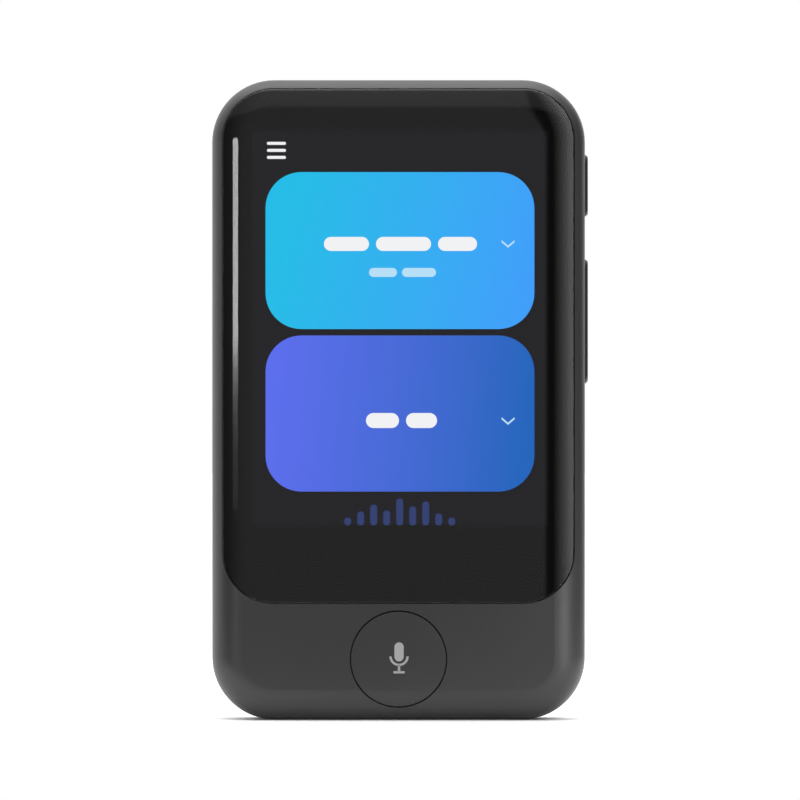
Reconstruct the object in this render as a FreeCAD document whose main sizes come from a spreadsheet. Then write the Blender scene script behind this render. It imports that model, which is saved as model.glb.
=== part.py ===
# Handheld translator: a rounded slab with a 2.8 inch screen under an inlaid glass,
# one round talk button under the screen, side keys, a card tray and a charging socket.
# Millimetres. X runs to the right and Y into the device as the screen is seen, Z is up,
# and the origin is the middle of the lower end, at half the thickness.
# Depths are measured from the front face, and heights from the lower end.
import FreeCAD, Part

import math
import os

import Sketcher

doc = FreeCAD.newDocument("handheld_translator")
sheet = doc.addObject("Spreadsheet::Sheet", "Dims")
driving_names = []
pieces = []


class Size:
    """A length in millimetres, with the sheet expression that it comes from."""

    def __init__(self, value, text):
        self.value = value
        self.text = text

    def __add__(self, other):
        other = as_size(other)
        return Size(self.value + other.value, f"({self.text} + {other.text})")

    def __sub__(self, other):
        other = as_size(other)
        return Size(self.value - other.value, f"({self.text} - {other.text})")

    def __mul__(self, number):
        return Size(self.value * number, f"({self.text} * {number})")

    def __truediv__(self, number):
        return Size(self.value / number, f"({self.text} / {number})")

    def __neg__(self):
        return self * -1


def as_size(item):
    """A Size as it is, or a plain number written as its own expression."""
    return item if isinstance(item, Size) else Size(float(item), str(item))


def dim(name, value):
    """Write one driving size into the next row of the sheet."""
    driving_names.append(name)
    row = len(driving_names)
    sheet.set(f"A{row}", name)
    sheet.set(f"B{row}", str(value))
    sheet.setAlias(f"B{row}", name)
    return Size(value, f"Dims.{name}")


# Outer form, as one pebble that the glass, both shells and the talk button share
body_width = dim("body_width", 53.7)
body_height = dim("body_height", 92.1)
body_depth = dim("body_depth", 11.6)
corner_radius = dim("corner_radius", 9.0)
front_round = dim("front_round", 4.5)
rear_round = dim("rear_round", 3.0)

# Shells
side_wall = dim("side_wall", 1.4)
chin_skin = dim("chin_skin", 1.4)
rear_skin = dim("rear_skin", 1.2)
tongue_thickness = dim("tongue_thickness", 0.8)
tongue_reach = dim("tongue_reach", 1.2)
shell_clearance = dim("shell_clearance", 0.1)
hook_length = dim("hook_length", 3.0)
hook_proud = dim("hook_proud", 0.25)
hook_width = dim("hook_width", 0.4)
hook_low = dim("hook_low", 31.0)
hook_high = dim("hook_high", 40.0)
hook_x = dim("hook_x", 13.5)
notch_room = dim("notch_room", 1.6)
edge_break = dim("edge_break", 0.1)

# Glass and screen
glass_thickness = dim("glass_thickness", 1.5)
glass_side_margin = dim("glass_side_margin", 1.65)
glass_top_margin = dim("glass_top_margin", 1.4)
glass_corner = dim("glass_corner", 7.3)
glass_gap = dim("glass_gap", 0.12)
glass_ledge = dim("glass_ledge", 1.7)
glass_tape_thickness = dim("glass_tape_thickness", 0.15)
lcd_width = dim("lcd_width", 45.8)
lcd_height = dim("lcd_height", 61.7)
lcd_bottom = dim("lcd_bottom", 24.5)
lcd_thickness = dim("lcd_thickness", 0.9)
backlight_thickness = dim("backlight_thickness", 1.0)
backlight_clearance = dim("backlight_clearance", 0.2)
screen_clearance = dim("screen_clearance", 0.4)
flex_room = dim("flex_room", 1.0)
flex_thickness = dim("flex_thickness", 0.12)
flex_width = dim("flex_width", 10.0)
connector_height = dim("connector_height", 0.6)
connector_length = dim("connector_length", 2.6)
connector_edge = dim("connector_edge", 1.2)

# Chassis plate, battery and boards
chassis_thickness = dim("chassis_thickness", 0.5)
chassis_clearance = dim("chassis_clearance", 0.55)
chassis_bottom = dim("chassis_bottom", 20.8)
chassis_screw_low = dim("chassis_screw_low", 28.5)
chassis_screw_spread = dim("chassis_screw_spread", 16.5)
board_thickness = dim("board_thickness", 0.8)
board_standoff = dim("board_standoff", 1.2)
board_bottom = dim("board_bottom", 64.0)
board_top_gap = dim("board_top_gap", 1.7)
board_side_gap = dim("board_side_gap", 3.15)
board_corner = dim("board_corner", 5.0)
board_screw_edge = dim("board_screw_edge", 2.0)
board_screw_drop = dim("board_screw_drop", 4.6)
shield_height = dim("shield_height", 1.4)
shield_edge = dim("shield_edge", 5.0)
radio_width = dim("radio_width", 17.0)
radio_height = dim("radio_height", 12.0)
radio_edge = dim("radio_edge", 2.5)
lower_board_lift = dim("lower_board_lift", 0.32)
lower_screw_height = dim("lower_screw_height", 4.2)
wing_height = dim("wing_height", 4.2)
part_gap = dim("part_gap", 0.4)
battery_width = dim("battery_width", 36.0)
battery_height = dim("battery_height", 37.0)
battery_thickness = dim("battery_thickness", 5.0)
battery_bottom = dim("battery_bottom", 25.0)
battery_shift = dim("battery_shift", 0.5)
battery_edge = dim("battery_edge", 1.2)
battery_border = dim("battery_border", 5.0)
tape_thickness = dim("tape_thickness", 0.15)
screw_radius = dim("screw_radius", 0.5)
screw_head_radius = dim("screw_head_radius", 1.0)
screw_head_height = dim("screw_head_height", 0.4)
screw_length = dim("screw_length", 1.6)
post_radius = dim("post_radius", 1.6)
rib_thickness = dim("rib_thickness", 0.8)

# Talk button
talk_radius = dim("talk_radius", 6.8)
talk_gap = dim("talk_gap", 0.2)
talk_margin = dim("talk_margin", 1.86)
chin_bridge = dim("chin_bridge", 1.04)
talk_cap_depth = dim("talk_cap_depth", 2.1)
talk_lug = dim("talk_lug", 1.1)
talk_lug_width = dim("talk_lug_width", 6.4)
talk_lug_clearance = dim("talk_lug_clearance", 0.05)
rib_room = dim("rib_room", 1.6)
talk_post_radius = dim("talk_post_radius", 1.5)
talk_travel = dim("talk_travel", 0.3)
talk_switch_size = dim("talk_switch_size", 4.5)
talk_plunger_radius = dim("talk_plunger_radius", 1.0)

# Side keys and their switches
key_width = dim("key_width", 2.6)
key_proud = dim("key_proud", 0.45)
key_edge = dim("key_edge", 0.28)
key_gap = dim("key_gap", 0.1)
key_flange = dim("key_flange", 0.6)
key_flange_thickness = dim("key_flange_thickness", 0.45)
key_flange_clearance = dim("key_flange_clearance", 0.3)
power_bottom = dim("power_bottom", 72.5)
power_length = dim("power_length", 8.9)
volume_bottom = dim("volume_bottom", 48.4)
volume_length = dim("volume_length", 17.9)
volume_switch_spacing = dim("volume_switch_spacing", 8.5)
switch_size = dim("switch_size", 3.0)
switch_height = dim("switch_height", 1.05)
switch_plunger_width = dim("switch_plunger_width", 1.4)
switch_plunger_proud = dim("switch_plunger_proud", 0.5)
switch_plunger_root = dim("switch_plunger_root", 0.2)
switch_bore_gap = dim("switch_bore_gap", 0.1)
bracket_thickness = dim("bracket_thickness", 0.3)
bracket_reach = dim("bracket_reach", 1.0)

# Card tray and reader
tray_height = dim("tray_height", 70.6)
tray_plate_length = dim("tray_plate_length", 13.0)
tray_plate_width = dim("tray_plate_width", 2.0)
tray_plate_thickness = dim("tray_plate_thickness", 1.25)
tray_gap = dim("tray_gap", 0.1)
tray_thickness = dim("tray_thickness", 0.9)
tray_width = dim("tray_width", 10.4)
tray_length = dim("tray_length", 15.0)
tray_clearance = dim("tray_clearance", 0.05)
card_length = dim("card_length", 12.3)
card_width = dim("card_width", 8.8)
card_thickness = dim("card_thickness", 0.67)
card_notch = dim("card_notch", 1.5)
contact_inset = dim("contact_inset", 2.0)
eject_hole_radius = dim("eject_hole_radius", 0.45)
reader_wall = dim("reader_wall", 0.15)
reader_side = dim("reader_side", 0.8)
reader_end = dim("reader_end", 2.2)

# Charging socket, the common oval 24-way one
socket_width = dim("socket_width", 8.94)
socket_thickness = dim("socket_thickness", 3.16)
socket_length = dim("socket_length", 7.35)
socket_wall = dim("socket_wall", 0.3)
socket_recess = dim("socket_recess", 0.15)
socket_gap = dim("socket_gap", 0.12)
contact_tongue_width = dim("contact_tongue_width", 6.69)
contact_tongue_thickness = dim("contact_tongue_thickness", 0.7)
contact_tongue_length = dim("contact_tongue_length", 4.45)
contact_tongue_setback = dim("contact_tongue_setback", 0.9)

# Speakers, microphones, camera and lamp
speaker_x = dim("speaker_x", 16.5)
speaker_width = dim("speaker_width", 13.4)
speaker_height = dim("speaker_height", 11.0)
speaker_bottom = dim("speaker_bottom", 6.5)
speaker_gap = dim("speaker_gap", 0.78)
gasket_thickness = dim("gasket_thickness", 0.4)
gasket_width = dim("gasket_width", 1.0)
mesh_thickness = dim("mesh_thickness", 0.15)
mesh_border = dim("mesh_border", 0.6)
cone_recess = dim("cone_recess", 0.4)
cone_corner = dim("cone_corner", 3.0)
slot_length = dim("slot_length", 9.0)
slot_width = dim("slot_width", 1.0)
slot_pitch = dim("slot_pitch", 2.4)
microphone_hole_radius = dim("microphone_hole_radius", 0.5)
microphone_width = dim("microphone_width", 2.75)
microphone_length = dim("microphone_length", 1.85)
microphone_thickness = dim("microphone_thickness", 1.0)
lower_microphone_x = dim("lower_microphone_x", 6.8)
top_microphone_x = dim("top_microphone_x", -6.0)
camera_x = dim("camera_x", 15.0)
camera_height = dim("camera_height", 81.0)
camera_size = dim("camera_size", 8.5)
camera_barrel_radius = dim("camera_barrel_radius", 3.2)
camera_barrel_height = dim("camera_barrel_height", 1.2)
camera_lens_radius = dim("camera_lens_radius", 1.6)
camera_hole_radius = dim("camera_hole_radius", 2.6)
window_radius = dim("window_radius", 3.7)
window_thickness = dim("window_thickness", 0.7)
window_recess = dim("window_recess", 0.8)
ring_radius = dim("ring_radius", 4.8)
seat_clearance = dim("seat_clearance", 0.05)
flash_drop = dim("flash_drop", 7.8)
flash_radius = dim("flash_radius", 1.3)
flash_air = dim("flash_air", 0.3)
antenna_width = dim("antenna_width", 25.0)
antenna_height = dim("antenna_height", 15.0)
antenna_strip = dim("antenna_strip", 5.0)

# Lines that several pieces share
half_width = body_width / 2
inner_x = half_width - side_wall
inner_top = body_height - side_wall
inner_corner = corner_radius - side_wall
inner_back = body_depth - rear_skin
parting_depth = body_depth - rear_round
talk_height = talk_margin + talk_gap + talk_radius
lug_x = talk_radius + talk_lug
glass_x = half_width - glass_side_margin
glass_bottom = talk_height + talk_radius + talk_gap + chin_bridge
glass_top = body_height - glass_top_margin
chin_height = glass_bottom - glass_ledge
seat_depth = glass_thickness + glass_tape_thickness
lcd_top = lcd_bottom + lcd_height
lcd_back = glass_thickness + lcd_thickness
backlight_back = lcd_back + backlight_thickness
window_x = lcd_width / 2 + screen_clearance
window_bottom = lcd_bottom - flex_room
window_top = lcd_top + screen_clearance
frame_depth = backlight_back + backlight_clearance
chassis_back = frame_depth + chassis_thickness
chassis_x = inner_x - chassis_clearance
board_front = chassis_back + board_standoff
board_back = board_front + board_thickness
board_x = inner_x - board_side_gap
board_top = inner_top - board_top_gap
lower_screw_x = lug_x + rib_room
lower_board_x = lower_screw_x + post_radius + part_gap
lower_board_front = frame_depth + lower_board_lift
lower_board_back = lower_board_front + board_thickness
port_depth = lower_board_back + socket_thickness / 2
speaker_front = lower_board_back + speaker_gap
lower_board_top = chassis_bottom - chassis_clearance / 2
lower_board_bottom = side_wall + part_gap
tongue_front = parting_depth - tongue_reach
key_face_x = half_width + key_proud
key_flange_outer_x = inner_x - key_flange_clearance
key_flange_inner_x = key_flange_outer_x - key_flange_thickness
switch_top_x = key_flange_inner_x - switch_plunger_proud
switch_base_x = switch_top_x - switch_height
bracket_x = switch_base_x - flex_thickness - bracket_thickness
power_height = power_bottom + power_length / 2
volume_height = volume_bottom + volume_length / 2
plate_inner_x = tray_plate_thickness - half_width
tray_end_x = plate_inner_x + tray_length
reader_right = tray_end_x + reader_end


# A bevel this share of a round's radius just touches the round, so walls keep their thickness
TOUCHING_BEVEL = 2 - math.sqrt(2)


def y_at(depth):
    """The Y of a depth below the front face."""
    return as_size(depth) - body_depth / 2


def new_body(label, base=None):
    """Start a named piece, on its own or on a form that it is cut from."""
    body = doc.addObject("PartDesign::Body", label)
    body.Label = label
    if base:
        body.BaseFeature = base
    return body


def new_piece(label, base=None):
    """Start a piece that is written to a file of its own."""
    pieces.append(new_body(label, base))
    return pieces[-1]


PLANES = {"front": "XZ_Plane", "side": "YZ_Plane", "level": "XY_Plane"}


def sketch_at(body, plane, place):
    """Sketch seen from the front at a depth, from the side at an X, or level at a height."""
    role = PLANES[plane]
    sketch = body.newObject("Sketcher::SketchObject", "Sketch")
    origin = next(item for item in body.Origin.OriginFeatures if item.Role == role)
    sketch.AttachmentSupport = [(origin, "")]
    sketch.MapMode = "FlatFace"
    offset = -y_at(place) if plane == "front" else as_size(place)
    sketch.setExpression("AttachmentOffset.Base.z", offset.text)
    return sketch


def grow(body, plane, start, end, outline, *sizes):
    """Pad an outline from one depth, X or height to a greater one."""
    sketch = sketch_at(body, plane, start)
    outline(sketch, *sizes)
    feature = body.newObject("PartDesign::Pad", "Pad")
    feature.Profile = sketch
    feature.Reversed = plane == "front"
    feature.setExpression("Length", (as_size(end) - start).text)
    return feature


def cut(body, plane, start, end, outline, *sizes):
    """Pocket an outline from one depth, X or height to a greater one."""
    sketch = sketch_at(body, plane, start if plane == "front" else end)
    outline(sketch, *sizes)
    feature = body.newObject("PartDesign::Pocket", "Pocket")
    feature.Profile = sketch
    feature.setExpression("Length", (as_size(end) - start).text)
    return feature


def point(x, y):
    return FreeCAD.Vector(as_size(x).value, as_size(y).value, 0)


def tie(sketch, index, size):
    """Bind one sketch constraint to its size."""
    sketch.setExpression(f"Constraints[{index}]", size.text)


def pin(sketch, line, vertex, x, y):
    """Hold one point of a sketch at its two distances from the sketch's origin."""
    for kind, size in (("DistanceX", as_size(x)), ("DistanceY", as_size(y))):
        constraint = Sketcher.Constraint(kind, -1, 1, line, vertex, size.value)
        tie(sketch, sketch.addConstraint(constraint), size)


def polygon(sketch, *points):
    """Closed outline of straight lines through the points given."""
    first = sketch.GeometryCount
    count = len(points)
    for here, there in zip(points, points[1:] + points[:1]):
        sketch.addGeometry(Part.LineSegment(point(*here), point(*there)), False)
    for step, corner in enumerate(points):
        following = first + (step + 1) % count
        sketch.addConstraint(Sketcher.Constraint("Coincident", first + step, 2, following, 1))
        pin(sketch, first + step, 1, *corner)


def rectangle(sketch, left, bottom, right, top):
    polygon(sketch, (left, bottom), (right, bottom), (right, top), (left, top))


def bevelled_rectangle(sketch, left, bottom, right, top, corner):
    """Rectangle whose corners are cut straight, each cut just touching a round of the corner."""
    left, bottom, right, top = (as_size(item) for item in (left, bottom, right, top))
    bevel = corner * TOUCHING_BEVEL
    polygon(
        sketch, (left + bevel, bottom), (right - bevel, bottom), (right, bottom + bevel),
        (right, top - bevel), (right - bevel, top), (left + bevel, top),
        (left, top - bevel), (left, bottom + bevel))


def rounded_rectangle(sketch, left, bottom, right, top, corner):
    """Rectangle with four tangent corner arcs of one radius."""
    left, bottom, right, top = (as_size(item) for item in (left, bottom, right, top))
    first = sketch.GeometryCount
    runs = (
        ((left + corner, bottom), (right - corner, bottom)),
        ((right, bottom + corner), (right, top - corner)),
        ((right - corner, top), (left + corner, top)),
        ((left, top - corner), (left, bottom + corner)),
    )
    for start, end in runs:
        sketch.addGeometry(Part.LineSegment(point(*start), point(*end)), False)
    centres = (
        (right - corner, bottom + corner),
        (right - corner, top - corner),
        (left + corner, top - corner),
        (left + corner, bottom + corner),
    )
    for quarter, centre in enumerate(centres):
        circle_form = Part.Circle(point(*centre), FreeCAD.Vector(0, 0, 1), corner.value)
        begin = (quarter - 1) * math.pi / 2
        sketch.addGeometry(Part.ArcOfCircle(circle_form, begin, begin + math.pi / 2), False)
    for quarter in range(4):
        arc = first + 4 + quarter
        following = first + (quarter + 1) % 4
        sketch.addConstraint(Sketcher.Constraint("Tangent", first + quarter, 2, arc, 1))
        sketch.addConstraint(Sketcher.Constraint("Tangent", arc, 2, following, 1))
        direction = "Horizontal" if quarter % 2 == 0 else "Vertical"
        sketch.addConstraint(Sketcher.Constraint(direction, first + quarter))
    for quarter in range(3):
        pair = (first + 4 + quarter, first + 5 + quarter)
        sketch.addConstraint(Sketcher.Constraint("Equal", *pair))
    radius = Sketcher.Constraint("Radius", first + 4, corner.value)
    tie(sketch, sketch.addConstraint(radius), corner)
    sides = (
        ("DistanceY", first, bottom),
        ("DistanceX", first + 1, right),
        ("DistanceY", first + 2, top),
        ("DistanceX", first + 3, left),
    )
    for kind, line, size in sides:
        distance = Sketcher.Constraint(kind, -1, 1, line, 1, size.value)
        tie(sketch, sketch.addConstraint(distance), size)


def circle(sketch, x, y, radius):
    index = sketch.GeometryCount
    form = Part.Circle(point(x, y), FreeCAD.Vector(0, 0, 1), radius.value)
    sketch.addGeometry(form, False)
    pin(sketch, index, 3, x, y)
    constraint = Sketcher.Constraint("Radius", index, radius.value)
    tie(sketch, sketch.addConstraint(constraint), radius)


SMALL_ROUND_SIDES = 12


def small_round(sketch, x, y, radius):
    """Twelve-sided outline of a screw, its hole or its post, light enough to repeat often."""
    x, y = as_size(x), as_size(y)
    turns = [2 * math.pi * side / SMALL_ROUND_SIDES for side in range(SMALL_ROUND_SIDES)]
    polygon(sketch, *[
        (x + radius * round(math.cos(turn), 6), y + radius * round(math.sin(turn), 6))
        for turn in turns])


def slot(sketch, x_a, y_a, x_b, y_b, radius):
    """Straight-sided slot between two arc centres, the second one right of or above the first."""
    first = sketch.GeometryCount
    ends = (point(x_a, y_a), point(x_b, y_b))
    along = (ends[1] - ends[0]).normalize()
    aside = FreeCAD.Vector(-along.y, along.x, 0) * radius.value
    heading = math.atan2(along.y, along.x)
    for centre, begin in ((ends[1], heading - math.pi / 2), (ends[0], heading + math.pi / 2)):
        form = Part.Circle(centre, FreeCAD.Vector(0, 0, 1), radius.value)
        sketch.addGeometry(Part.ArcOfCircle(form, begin, begin + math.pi), False)
    sketch.addGeometry(Part.LineSegment(ends[1] + aside, ends[0] + aside), False)
    sketch.addGeometry(Part.LineSegment(ends[0] - aside, ends[1] - aside), False)
    order = (first, first + 2, first + 1, first + 3)
    for here, there in zip(order, order[1:] + order[:1]):
        sketch.addConstraint(Sketcher.Constraint("Tangent", here, 2, there, 1))
    sketch.addConstraint(Sketcher.Constraint("Equal", first, first + 1))
    constraint = Sketcher.Constraint("Radius", first, radius.value)
    tie(sketch, sketch.addConstraint(constraint), radius)
    pin(sketch, first, 3, x_b, y_b)
    pin(sketch, first + 1, 3, x_a, y_a)


def several(sketch, outline, *copies):
    """Draw one kind of outline several times in one sketch."""
    for sizes in copies:
        outline(sketch, *sizes)


def in_plane(low, high, place):
    return high - low < 1e-6 and abs(low - as_size(place).value) < 1e-6


def at_depth(depth):
    """Test for edges that lie in the plane of one depth."""
    return lambda box: in_plane(box.YMin, box.YMax, y_at(depth))


def at_x(x):
    """Test for edges that lie in the plane of one X."""
    return lambda box: in_plane(box.XMin, box.XMax, x)


def treat_edges(body, kind, setting, size, chosen):
    """Fillet or chamfer the edges, of the piece as it is so far, whose boxes pass the test."""
    doc.recompute()
    base = body.Tip
    names = [
        f"Edge{number}"
        for number, edge in enumerate(base.Shape.Edges, 1)
        if chosen(edge.BoundBox)
    ]
    feature = body.newObject(f"PartDesign::{kind}", kind)
    feature.Base = (base, names)
    feature.setExpression(setting, size.text)


def round_edges(body, radius, chosen):
    treat_edges(body, "Fillet", "Radius", radius, chosen)


def bevel_edges(body, size, chosen):
    treat_edges(body, "Chamfer", "Size", size, chosen)


def boolean(kind, name, base, tool):
    feature = doc.addObject(f"Part::{kind}", name)
    feature.Base = base
    feature.Tool = tool
    return feature


def bound_box(name, left, front, bottom, right, back, top):
    """A plain block between two corners, used to part the shared forms."""
    block = doc.addObject("Part::Box", name)
    left, front, bottom = as_size(left), y_at(front), as_size(bottom)
    right, back, top = as_size(right), y_at(back), as_size(top)
    block.setExpression("Length", (right - left).text)
    block.setExpression("Width", (back - front).text)
    block.setExpression("Height", (top - bottom).text)
    block.setExpression("Placement.Base.x", left.text)
    block.setExpression("Placement.Base.y", front.text)
    block.setExpression("Placement.Base.z", bottom.text)
    return block


def inset(amount):
    """Left, bottom, right, top and corner of the device's outline, moved inwards."""
    amount = as_size(amount)
    left = amount - half_width
    right = half_width - amount
    return left, amount, right, body_height - amount, corner_radius - amount


# The outer pebble, and the space inside its walls
outer_form = new_body("outer_form")
grow(outer_form, "front", 0, body_depth, rounded_rectangle, *inset(0))
round_edges(outer_form, front_round, at_depth(0))
round_edges(outer_form, rear_round, at_depth(body_depth))

inner_form = new_body("inner_form")
grow(inner_form, "front", chin_skin, inner_back, bevelled_rectangle, *inset(side_wall))
bevel_edges(inner_form, (front_round - side_wall) * TOUCHING_BEVEL, at_depth(chin_skin))
bevel_edges(inner_form, (rear_round - rear_skin) * TOUCHING_BEVEL, at_depth(inner_back))

margin = side_wall
front_half = bound_box(
    "front_half", -half_width - margin, -margin, -margin,
    half_width + margin, parting_depth, body_height + margin)
rear_half = bound_box(
    "rear_half", -half_width - margin, parting_depth, -margin,
    half_width + margin, body_depth + margin, body_height + margin)
glass_block = bound_box(
    "glass_block", -half_width - margin, -margin, -margin,
    half_width + margin, glass_thickness, body_height + margin)
frame_block = bound_box(
    "frame_block", -half_width, 0, chin_height, half_width, frame_depth, body_height)

front_blank = boolean("Common", "front_blank", outer_form, front_half)
rear_blank = boolean("Common", "rear_blank", outer_form, rear_half)
glass_blank = boolean("Common", "glass_blank", outer_form, glass_block)
cavity = boolean("Cut", "cavity", inner_form, frame_block)
front_shell = boolean("Cut", "front_shell", front_blank, cavity)
rear_shell = boolean("Cut", "rear_shell", rear_blank, inner_form)

# Places that repeat
chassis_screw_x = (chassis_x + window_x) / 2
chassis_screw_top = (window_top + inner_top - chassis_clearance) / 2
chassis_screw_places = [(chassis_screw_x * side, chassis_screw_low) for side in (-1, 1)]
chassis_screw_places += [(chassis_screw_spread * side, chassis_screw_top) for side in (-1, 1)]
lower_screw_places = [(lower_screw_x * side, lower_screw_height) for side in (-1, 1)]
board_screw_x = board_x - board_screw_edge
board_screw_places = [
    (-board_screw_x, board_top - board_screw_drop),
    (board_screw_x, board_bottom + board_screw_edge),
]


def hook_rectangles(sketch, inner, outer, length):
    """Hook outlines on all four sides, between two distances inside the outer face."""
    half = length / 2
    for height in (hook_low, hook_high):
        rectangle(sketch, outer - half_width, height - half, inner - half_width, height + half)
        rectangle(sketch, half_width - inner, height - half, half_width - outer, height + half)
    for x in (-hook_x, hook_x):
        rectangle(sketch, x - half, outer, x + half, inner)
        rectangle(sketch, x - half, body_height - inner, x + half, body_height - outer)


# Front housing: the moulded frame with its pillowed rim and chin
front_housing = new_piece("front_housing", front_shell)
cut(front_housing, "front", 0, seat_depth, rounded_rectangle,
    -glass_x - glass_gap, glass_bottom - glass_gap, glass_x + glass_gap, glass_top + glass_gap,
    glass_corner + glass_gap)
cut(front_housing, "front", 0, frame_depth, rectangle,
    -window_x, window_bottom, window_x, window_top)
cut(front_housing, "front", 0, frame_depth, circle, 0, talk_height, talk_radius + talk_gap)
grow(front_housing, "front", chin_skin - edge_break, lower_board_front,
     several, small_round, *[(x, z, post_radius) for x, z in lower_screw_places])
grow(front_housing, "front", chin_skin - edge_break, lower_board_front, several, rectangle, *[
    (x - rib_thickness / 2, z, x + rib_thickness / 2, chin_height + edge_break)
    for x, z in lower_screw_places])
pilot_front = lower_board_back + screw_head_height - screw_length - screw_radius
cut(front_housing, "front", frame_depth - screw_length + chassis_thickness, frame_depth,
    several, small_round, *[(x, z, screw_radius) for x, z in chassis_screw_places])
cut(front_housing, "front", pilot_front, lower_board_front,
    several, small_round, *[(x, z, screw_radius) for x, z in lower_screw_places])
cut(front_housing, "front", tongue_front + edge_break, tongue_front + hook_width + edge_break * 3,
    hook_rectangles, side_wall, side_wall - hook_proud - edge_break, hook_length + edge_break * 4)

key_half = key_width / 2
for low, length in ((power_bottom, power_length), (volume_bottom, volume_length)):
    cut(front_housing, "side", inner_x - edge_break, key_face_x, slot,
        y_at(port_depth), low + key_half, y_at(port_depth), low + length - key_half,
        key_half + key_gap)

plate_half = tray_plate_width / 2
plate_low = tray_height - tray_plate_length / 2
plate_high = tray_height + tray_plate_length / 2
cut(front_housing, "side", -half_width - margin, -inner_x + edge_break, slot,
    y_at(port_depth), plate_low + plate_half, y_at(port_depth), plate_high - plate_half,
    plate_half + tray_gap)

socket_half = socket_thickness / 2
socket_centre = socket_width / 2 - socket_half
cut(front_housing, "level", -margin, side_wall + edge_break, slot,
    -socket_centre, y_at(port_depth), socket_centre, y_at(port_depth), socket_half + socket_gap)
lower_microphone_depth = lower_board_back + microphone_thickness / 2
top_microphone_depth = board_back + microphone_thickness / 2
cut(front_housing, "level", -margin, side_wall + edge_break, circle,
    lower_microphone_x, y_at(lower_microphone_depth), microphone_hole_radius)
cut(front_housing, "level", inner_top - edge_break, body_height + margin, circle,
    top_microphone_x, y_at(top_microphone_depth), microphone_hole_radius)

# Rear cover: the shallow moulded dish that closes the back and snaps in with a tongue
rear_cover = new_piece("rear_cover", rear_shell)
tongue_outer = side_wall + shell_clearance
tongue_inner = tongue_outer + tongue_thickness


def straight_sides(sketch, outer, inner):
    """A strip along the straight part of each side, between two distances inside the face."""
    across = half_width - corner_radius
    low = corner_radius
    high = body_height - corner_radius
    rectangle(sketch, outer - half_width, low, inner - half_width, high)
    rectangle(sketch, half_width - inner, low, half_width - outer, high)
    rectangle(sketch, -across, outer, across, inner)
    rectangle(sketch, -across, body_height - inner, across, body_height - outer)


grow(rear_cover, "front", parting_depth, inner_back - edge_break,
     straight_sides, side_wall - edge_break, tongue_inner)
grow(rear_cover, "front", tongue_front, parting_depth + edge_break,
     straight_sides, tongue_outer, tongue_inner)
grow(rear_cover, "front", tongue_front + edge_break * 2, tongue_front + edge_break * 2 + hook_width,
     hook_rectangles, tongue_outer + edge_break, tongue_outer - hook_proud, hook_length)
socket_notch = socket_width / 2 + notch_room
cut(rear_cover, "front", tongue_front, parting_depth, rectangle,
    -socket_notch, side_wall, socket_notch, tongue_inner + edge_break)
cut(rear_cover, "front", tongue_front, parting_depth, rectangle,
    half_width - tongue_inner - edge_break, volume_bottom - notch_room,
    inner_x, power_bottom + power_length + notch_room)
cut(rear_cover, "front", tongue_front, parting_depth, rectangle,
    -inner_x, plate_low - notch_room,
    tongue_inner + edge_break - half_width, plate_high + notch_room)
rib_front = chassis_back + tape_thickness + battery_thickness + tape_thickness
for side in (-1, 1):
    rib_x = battery_width / 3 * side
    grow(rear_cover, "front", rib_front, inner_back + edge_break, rectangle,
         rib_x - rib_thickness / 2, battery_bottom + battery_border,
         rib_x + rib_thickness / 2, battery_bottom + battery_height - battery_border)
cut(rear_cover, "front", inner_back - edge_break, body_depth, circle,
    camera_x, camera_height, camera_hole_radius)
cut(rear_cover, "front", body_depth - window_recess, body_depth, circle,
    camera_x, camera_height, ring_radius + seat_clearance)
flash_height = camera_height - flash_drop
cut(rear_cover, "front", inner_back - edge_break, body_depth, circle,
    camera_x, flash_height, flash_radius + seat_clearance)
speaker_height_mid = speaker_bottom + speaker_height / 2
slot_half = slot_width / 2
for side in (-1, 1):
    centre = speaker_x * side
    rows = [speaker_height_mid + slot_pitch * step for step in (-1, 0, 1)]
    cut(rear_cover, "front", inner_back - edge_break, body_depth, several, rectangle, *[
        (centre - slot_length / 2, row - slot_half, centre + slot_length / 2, row + slot_half)
        for row in rows])

# Cover glass: flat underneath, and ground to the pebble's own curve round its edge
cover_glass_blank = new_body("cover_glass_blank")
grow(cover_glass_blank, "front", 0, glass_thickness, rounded_rectangle,
     -glass_x, glass_bottom, glass_x, glass_top, glass_corner)
cover_glass_form = boolean("Common", "cover_glass_form", glass_blank, cover_glass_blank)
cover_glass = new_piece("cover_glass", cover_glass_form)

# Screen stack: bonding tape on the frame's ledge, panel, backlight and their ribbon
glass_tape = new_piece("glass_tape")
grow(glass_tape, "front", glass_thickness, seat_depth, bevelled_rectangle,
     screen_clearance - glass_x, glass_bottom + screen_clearance,
     glass_x - screen_clearance, glass_top - screen_clearance, glass_corner + screen_clearance)
cut(glass_tape, "front", glass_thickness, seat_depth, rectangle,
    -window_x, window_bottom, window_x, window_top)

lcd_panel = new_piece("lcd_panel")
grow(lcd_panel, "front", glass_thickness, lcd_back, rectangle,
     -lcd_width / 2, lcd_bottom, lcd_width / 2, lcd_top)

backlight_unit = new_piece("backlight_unit")
backlight_inset = screen_clearance / 2
backlight_bottom = lcd_bottom + flex_room * 2
grow(backlight_unit, "front", lcd_back, backlight_back, rectangle,
     backlight_inset - lcd_width / 2, backlight_bottom,
     lcd_width / 2 - backlight_inset, lcd_top - backlight_inset)


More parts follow.
